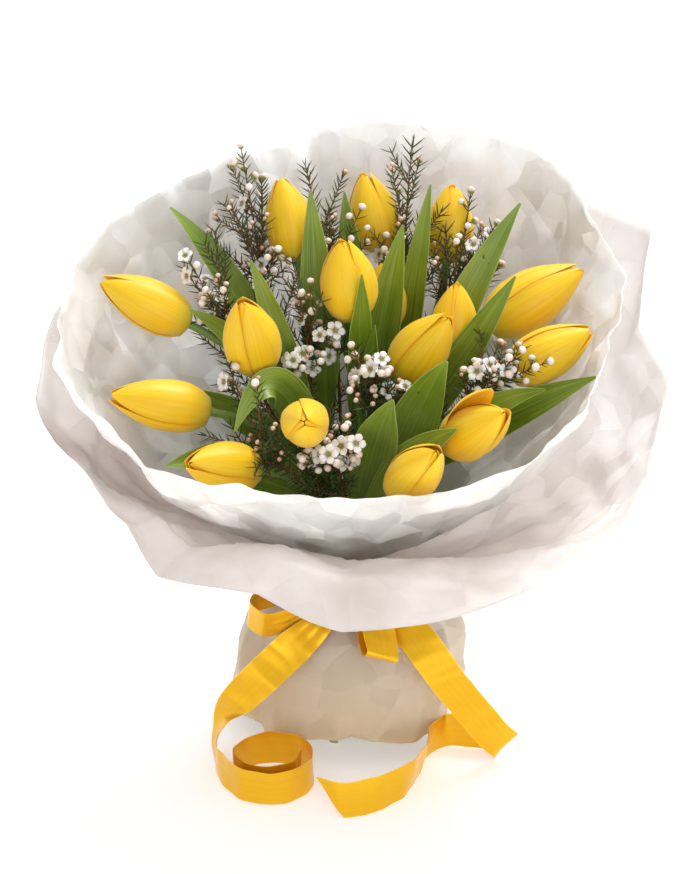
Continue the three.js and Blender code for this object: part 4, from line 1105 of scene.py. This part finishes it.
def around(table, azimuth):
    """Radius and height along an edge, evenly from corner to corner."""
    keys = [corner[0] for corner in table] + [360]
    return np.stack([np.interp(azimuth, keys, [c[k] for c in [*table, table[0]]]) for k in (1, 2)], 1)


def pleat(azimuth):
    """A round of pleats with crisp folds, deeper in some places than in others."""
    a = np.radians(azimuth)
    crisp = np.arcsin(0.97 * np.cos(a * PLEATS)) / np.arcsin(0.97)
    return crisp * (0.75 + 0.35 * np.sin(2 * a + math.radians(40)) * np.cos(5 * a))


def crumple(a, v, luck, count, sizes, slope, ways=(0, 180)):
    """Height of crisp folds in many directions, over the angle round a sheet and the way up it."""
    height = np.zeros_like(v)
    for _ in range(count):
        way = math.radians(luck.uniform(*ways))
        size = luck.uniform(*sizes)
        lines = round(GIRTH * math.cos(way) / size)
        rise = math.sin(way) / size
        bend = 0.16 * np.sin(2 * a + v * luck.uniform(0.02, 0.05) + luck.uniform(0, 6))
        wave = a / (2 * math.pi) * lines + v * rise + bend + luck.random()
        height += (np.abs(2 * (wave % 1) - 1) - 0.5) * size / 2
    return height * slope / math.sqrt(count)


def tissue_rows(azimuth, front, rim, skirt, hem, rolled):
    """The rows that a sheet goes through, from its hem up through the tie and out to its rim."""
    a = np.radians(azimuth)
    waist = skirt[0][0]
    wave = pleat(azimuth) * (1 - FRONT_SMOOTHING * np.exp(-(((azimuth - FRONT) / FRONT_WIDTH) ** 4)))
    low = around(hem, azimuth)
    rows = []
    for out, z in [(low[:, 0], low[:, 1]), *reversed(skirt)]:
        r = out + SKIRT_PLEAT * (out - waist) / SKIRT_REACH * wave
        rows.append(np.stack([r * np.cos(a), r * np.sin(a), z * np.ones(len(a))], 1))
    edge = around(rim, azimuth)
    for out, up, roll in COLLAR_ROWS:
        depth = COLLAR_PLEAT * out * wave
        r = waist + (edge[:, 0] - waist) * out + depth
        z = TIE_HEIGHT + COLLAR_FOOT + (edge[:, 1] - TIE_HEIGHT - COLLAR_FOOT) * up - depth * PLEAT_DROP
        z = z + (roll * front if rolled else 0)
        rows.append(np.stack([r * np.cos(a), r * np.sin(a), z], 1))
    return np.array(rows)


def lapped(lift, azimuth, places, collar_foot, laps):
    """The crumpled sheet's height with its laps, and where the sheet is double, 0 to 1."""
    doubled = np.zeros(lift.shape)
    for first, last, low_share, high_share, height in laps:
        along = np.clip((azimuth - first) / (last - first), 0, 1)[None]
        line = collar_foot + (places[-1] - collar_foot) * (low_share + (high_share - low_share) * along)
        past = places[:, None] - line
        step = np.clip(past / LAP_RISE, 0, 1) * np.exp(-np.clip(past, 0, None) / LAP_FALL)
        arch = np.sin(math.pi * along)
        lift = lift + height * step * np.sqrt(np.clip(arch, 0, 1))
        doubled = np.maximum(doubled, np.clip(past / DOUBLE_RISE, 0, 1) * np.clip(arch * 3, 0, 1))
    return lift, doubled


def tissue(which, rim, skirt, hem, rolled, laps, seed):
    """One sheet, crumpled and lapped, as a closed thin skin; the outer one is `rolled` over at the front."""
    luck = random.Random(seed)
    azimuth = np.arange(SHEET_COLS) * 360 / SHEET_COLS
    a = np.radians(azimuth)
    away = np.abs((azimuth - FRONT + 180) % 360 - 180)
    front = np.cos(np.radians(np.minimum(away * ROLL_NARROWING, 90)))
    rows = tissue_rows(azimuth, front, rim, skirt, hem, rolled)
    steps = np.linalg.norm(np.diff(rows, axis=0), axis=2).mean(1)
    keys = np.concatenate([[0], np.cumsum(steps)])
    skirt_top, collar_foot, rolled_row = keys[3], keys[4], keys[7]
    places = np.linspace(0, keys[-1], SHEET_ROWS)
    grid = through(keys, rows, places)
    normal = unit(np.cross(np.gradient(grid, axis=0), np.roll(grid, -1, 1) - np.roll(grid, 1, 1)))

    # Crumples: none of them in the tie, and shallower ones on the front
    freedom = np.interp(places, [0, skirt_top, collar_foot, rolled_row, keys[-1]], [0.8, 0.0, 0.0, 0.5, 1.0])
    near_edge = np.interp(places, [collar_foot, keys[8], keys[-1]], [0.6, 1.0, 1.7])[:, None]
    turn = a[None] * np.ones((SHEET_ROWS, 1))
    up = places[:, None] * np.ones((1, SHEET_COLS))
    lift = (
        crumple(turn, up, luck, 5, (30, 70), 0.22, (48, 132) if rolled else (-22, 22))
        + crumple(turn, up, luck, 7, (80, 200), 0.14)
        + crumple(turn, up, luck, 9, (16, 42), 0.06 if rolled else 0.24) * near_edge
    ) * freedom[:, None] * (1 - 0.5 * front)

    lift, doubled = lapped(lift, azimuth, places, collar_foot, laps)
    # The skirt crumples inwards only, so that it stays clear of the ribbon
    outward = np.sign((normal[..., 0] * np.cos(a) + normal[..., 1] * np.sin(a)))
    lift = np.where((places < skirt_top)[:, None], -outward * np.abs(lift), lift)
    grid = grid + normal * lift[..., None]

    # Painted shade and light: the outer sheet is coloured darker where single, and lighter on the right,
    # where more light comes through
    painted_light = np.interp(np.cos(a), [-1, 0, 0.5], [0.06, 0.1, 0.45]) * (1 - front)
    painted_shade = np.tile((rolled * (1 - 0.28 * doubled) * (1 - painted_light)).ravel(), 2)
    sheet = shell(grid, np.full(grid.shape[:2], TISSUE_THICKNESS), around=True, tone=painted_shade)
    made = piece(f"tissue-{which}", [sheet], [tissue_white], f"wrap_{which}", crease=180)


tissue("inner", INNER_RIM, INNER_SKIRT, INNER_HEM, False, [], 31)
tissue("outer", OUTER_RIM, OUTER_SKIRT, OUTER_HEM, True, LAPS, 32)


# Ribbon
# One length of yellow satin ribbon, 25 mm wide, is drawn round the tissue and knotted at the front. It makes
# two loops and two long tails that reach the floor, where one coils up on its edge and the other folds back.
RIBBON_WIDTH = 25
RIBBON_THICKNESS = 0.35
RIBBON_COLUMNS = 13
NARROWEST = 4

# Each row: a point of the middle line, the direction across the strip, and its width where it is gathered
LOOP_LEFT = [
    ((-8.4, -28, 120.5), (0, -0.5, 1), 6),
    ((-24, -38, 122), (0, -0.45, 1), 14),
    ((-46, -45, 119), (0, -0.4, 1), 22),
    ((-64, -46, 114), (0.1, -0.3, 1), 24),
    ((-69, -50, 108), (0.1, -0.3, 1), 24),
    ((-60, -58, 104), (0, -0.3, 1), 24),
    ((-38, -55, 108), (0, -0.4, 1), 18),
    ((-20, -42, 114), (0, -0.5, 1), 10),
    ((-8.6, -30, 115.5), (0, -0.6, 1), 6),
]
LOOP_RIGHT = [
    ((3, -32, 120), (1, 0, 0), 8),
    ((9, -46, 118), (1, 0.1, 0), 16),
    ((15, -62, 112), (1, 0.15, -0.2), 23),
    ((19, -76, 101), (1, 0.2, -0.4), 24),
    ((20, -82, 93), (1, 0.2, -0.5), 23),
    ((18, -78, 89), (1, 0.2, -0.4), 23),
    ((13, -62, 98), (1, 0.15, -0.2), 20),
    ((7, -46, 108), (1, 0.1, 0), 14),
    ((3, -32, 116), (1, 0, 0), 8),
]
TAIL_LEFT = [
    ((-3, -30.6, 113.4), (0.9, -0.3, 0), 8),
    ((-20, -52, 103), (0.8, -0.3, -0.3), 18),
    ((-40, -65, 89), (0.75, -0.28, -0.5)),
    ((-60, -70, 70), (0.75, -0.28, -0.5)),
    ((-77, -66, 48), (0.85, -0.4, -0.2)),
    ((-88, -62, 28), (0.5, -0.6, 0.5)),
    ((-92, -76, 15.5), (0.1, -0.3, 1)),
    ((-86, -96, 13.2), (0, 0, 1)),
    ((-72, -113, 13.2), (0, 0, 1)),
    ((-52, -118, 13.2), (0, 0, 1)),
    ((-34, -110, 13.2), (0, 0, 1)),
    ((-26, -92, 13.2), (0, 0, 1)),
    ((-36, -75, 13.2), (0, 0, 1)),
    ((-56, -70, 13.2), (0, 0, 1)),
    ((-72, -78, 13.2), (0, 0, 1)),
    ((-79, -93, 13.2), (0, 0, 1)),
    ((-70, -106, 13.2), (0, 0, 1)),
    ((-53, -110, 13.2), (0, 0, 1)),
    ((-39, -103, 13.2), (0, 0, 1)),
    ((-34, -90, 13.2), (0, 0, 1)),
]
TAIL_RIGHT = [
    ((9, -31, 113), (0.8, 0.3, 0.4), 8),
    ((24, -44, 108), (0.8, 0.2, 0.5), 18),
    ((44, -62, 94), (0.85, 0.1, 0.55)),
    ((62, -70, 70), (0.85, 0, 0.55)),
    ((82, -70, 42), (0.85, 0, 0.55)),
    ((98, -68, 20), (0.75, 0, 0.65)),
    ((105, -65, 11.5), (0.6, 0, 0.8)),
    ((101, -60, 12.5), (0.2, 0, 1)),
    ((84, -52, 13.2), (0, 0, 1)),
    ((64, -50, 13.2), (0, 0.1, 1)),
    ((53, -62, 13.2), (0.1, 0, 1)),
    ((48, -84, 13.2), (0.2, 0, 1)),
    ((36, -108, 13.2), (0.1, 0.1, 1)),
    ((16, -124, 13.2), (0, 0.2, 1)),
    ((-6, -131, 13.2), (0, 0.2, 1)),
    ((-24, -124, 13.2), (0, 0.1, 1)),
]

satin, tree, shader = finish_named(
    "yellow satin", Roughness=0.28, Metallic=0.55, Sheen_Weight=0.12, Sheen_Roughness=0.35
)
across, along = across_along(tree)
drawn_out = {0: maths(tree, "MULTIPLY", across, 30.0), 1: along}
drawn_out = add_node(tree, "ShaderNodeCombineXYZ", drawn_out).outputs[0]
threads = {"Vector": drawn_out, "Scale": 1.0, "Detail": 2.0}
threads = add_node(tree, "ShaderNodeTexNoise", threads).outputs["Fac"]
tone = ramp(tree, threads, (0.3, 234, 176, 10), (0.7, 240, 186, 18))
# The ribbon's colour is lighter towards both of its edges
lighter_edges = ramp(tree, midrib_mask(tree), (0.0, 0.6), (0.07, 0.0))
finished(tree, shader, mixed(tree, lighter_edges, tone, colour(255, 216, 66)), threads, 0.15, 0.0003)


def strip(name, rows, steps, slant=0):
    """A length of ribbon along its rows, gathered where it is narrower, with a cut end that may slant."""
    middles = np.array([r[0] for r in rows], float)
    ways = unit(np.array([r[1] for r in rows], float))
    widths = [r[2] if len(r) > 2 else RIBBON_WIDTH for r in rows]
    keys = np.concatenate([[0], np.cumsum(np.linalg.norm(np.diff(middles, axis=0), axis=1))])
    at = np.linspace(0, keys[-1], steps)
    columns = []
    for u in np.linspace(-1, 1, RIBBON_COLUMNS):
        cut = at * (1 - slant * (1 - u) / 2 / keys[-1])
        middle = through(keys, middles, cut)
        across = unit(through(keys, ways, cut))
        width = np.clip(through(keys, widths, cut), NARROWEST, RIBBON_WIDTH)
        normal = unit(np.cross(unit(np.gradient(middle, axis=0)), across))
        gather = np.clip(1 - width / RIBBON_WIDTH, 0, 1) * 1.6 * math.cos(3 * math.pi * u) + 0.25 * u**2
        gather += 0.4 * np.sin(cut / 4.3 + 0.7 * u) + 0.25 * np.sin(cut / 2.6 - 1.1 * u + 1)
        columns.append(middle + across * (width / 2 * u)[:, None] + normal * gather[:, None])
    grid = np.stack(columns, 1)
    skin = shell(grid, np.full(grid.shape[:2], RIBBON_THICKNESS))
    made = piece(name, [skin], [satin], name.replace("-", "_"))


# The band, drawn in round the tissue, and the knot on its front, which is given by its half sizes
BAND_RADIUS = 24
BAND_THICKNESS = 0.5
BAND_EDGES = (114.2, 123.8)
BAND_ROWS, BAND_COLS = 13, 180
KNOT = (0, -27.5, 118)
KNOT_LONG, KNOT_DEEP, KNOT_HIGH = 8.8, 5.0, 6.3
KNOT_END = 9
KNOT_ROWS, KNOT_SIDES = 17, 40

azimuth = np.linspace(0, 2 * math.pi, BAND_COLS + 1)[:-1]
grid = []
for z in np.linspace(*BAND_EDGES, BAND_ROWS):
    r = BAND_RADIUS + 0.35 * np.cos((z - 114) * 1.3) + 0.12 * np.cos(azimuth * 31 + z)
    grid.append(np.stack([r * np.cos(azimuth), r * np.sin(azimuth), np.full(BAND_COLS, z)], 1))
band = shell(np.array(grid), np.full((BAND_ROWS, BAND_COLS), BAND_THICKNESS), around=True)

turn = np.linspace(0, 2 * math.pi, KNOT_SIDES + 1)[:-1]
rings = []
for k in np.linspace(0.03, 0.97, KNOT_ROWS):
    rise = math.cos(k * math.pi)
    flat = math.sin(k * math.pi)
    crease = 1 + 0.07 * np.cos(5 * turn + 3 * rise) + 0.04 * np.cos(9 * turn - 5 * rise)
    deep = KNOT_DEEP * flat * np.cos(turn) * crease
    high = KNOT_HIGH * flat * np.sin(turn) * crease
    rings.append(np.stack([np.full(KNOT_SIDES, -KNOT_LONG * rise), deep, high], 1))
line = np.linspace(-KNOT_LONG, KNOT_LONG, KNOT_ROWS)[:, None] * np.array([1, 0, 0])
_, faces, uv, _, _ = tube(line, np.ones(KNOT_ROWS), KNOT_SIDES)
points = np.concatenate([*rings, [[-KNOT_END, 0, 0]], [[KNOT_END, 0, 0]]]) + KNOT
piece("ribbon-band", [band, (points, faces, uv, 0, 0)], [satin], "ribbon_band")
strip("ribbon-loop-left", LOOP_LEFT, 90)
strip("ribbon-loop-right", LOOP_RIGHT, 90)
strip("ribbon-tail-left", TAIL_LEFT, 290)
strip("ribbon-tail-right", TAIL_RIGHT, 240, slant=20)


# Floor and light
# A plain white studio floor, and soft white light from a panel above on the right, a wide fill at the front,
# the skylight from behind and the white room. The floor glows a little, so that it shows nearly white.
bpy.ops.mesh.primitive_plane_add(size=16)
floor = bpy.context.object
floor.name = "floor"
material, tree, shader = finish_named(
    "white floor", Roughness=0.8, Emission_Color=(1, 0.99, 0.975, 1), Emission_Strength=0.38
)
tree.links.new(ramp(tree, clouds(tree, 3.0), (0, 0.9), (1, 0.93)), shader.inputs["Base Color"])
floor.data.materials.append(material)

for name, place, size, power in (
    ("panel above", (0.6, 0.5, 1.6), 0.7, 13),
    ("fill at the front", (0.5, -2.0, 0.9), 1.2, 8.5),
):
    lamp = bpy.data.objects.new(name, bpy.data.lights.new(name, "AREA"))
    lamp.data.size = size
    lamp.data.energy = power
    lamp.location = place
    lamp.rotation_euler = (Vector((0, 0, 0.22)) - Vector(place)).to_track_quat("-Z", "Y").to_euler()
    bpy.context.scene.collection.objects.link(lamp)
sky = bpy.data.objects.new("skylight", bpy.data.lights.new("skylight", "SUN"))
sky.data.energy = 1.2
sky.data.angle = math.radians(30)
sky.rotation_euler = (math.radians(-26), math.radians(10), 0)
bpy.context.scene.collection.objects.link(sky)
world = bpy.data.worlds.new("white room")
world.use_nodes = True
world.node_tree.nodes["Background"].inputs["Color"].default_value = (1, 1, 1, 1)
world.node_tree.nodes["Background"].inputs["Strength"].default_value = 0.66
bpy.context.scene.world = world
bpy.context.scene.view_settings.view_transform = "Standard"
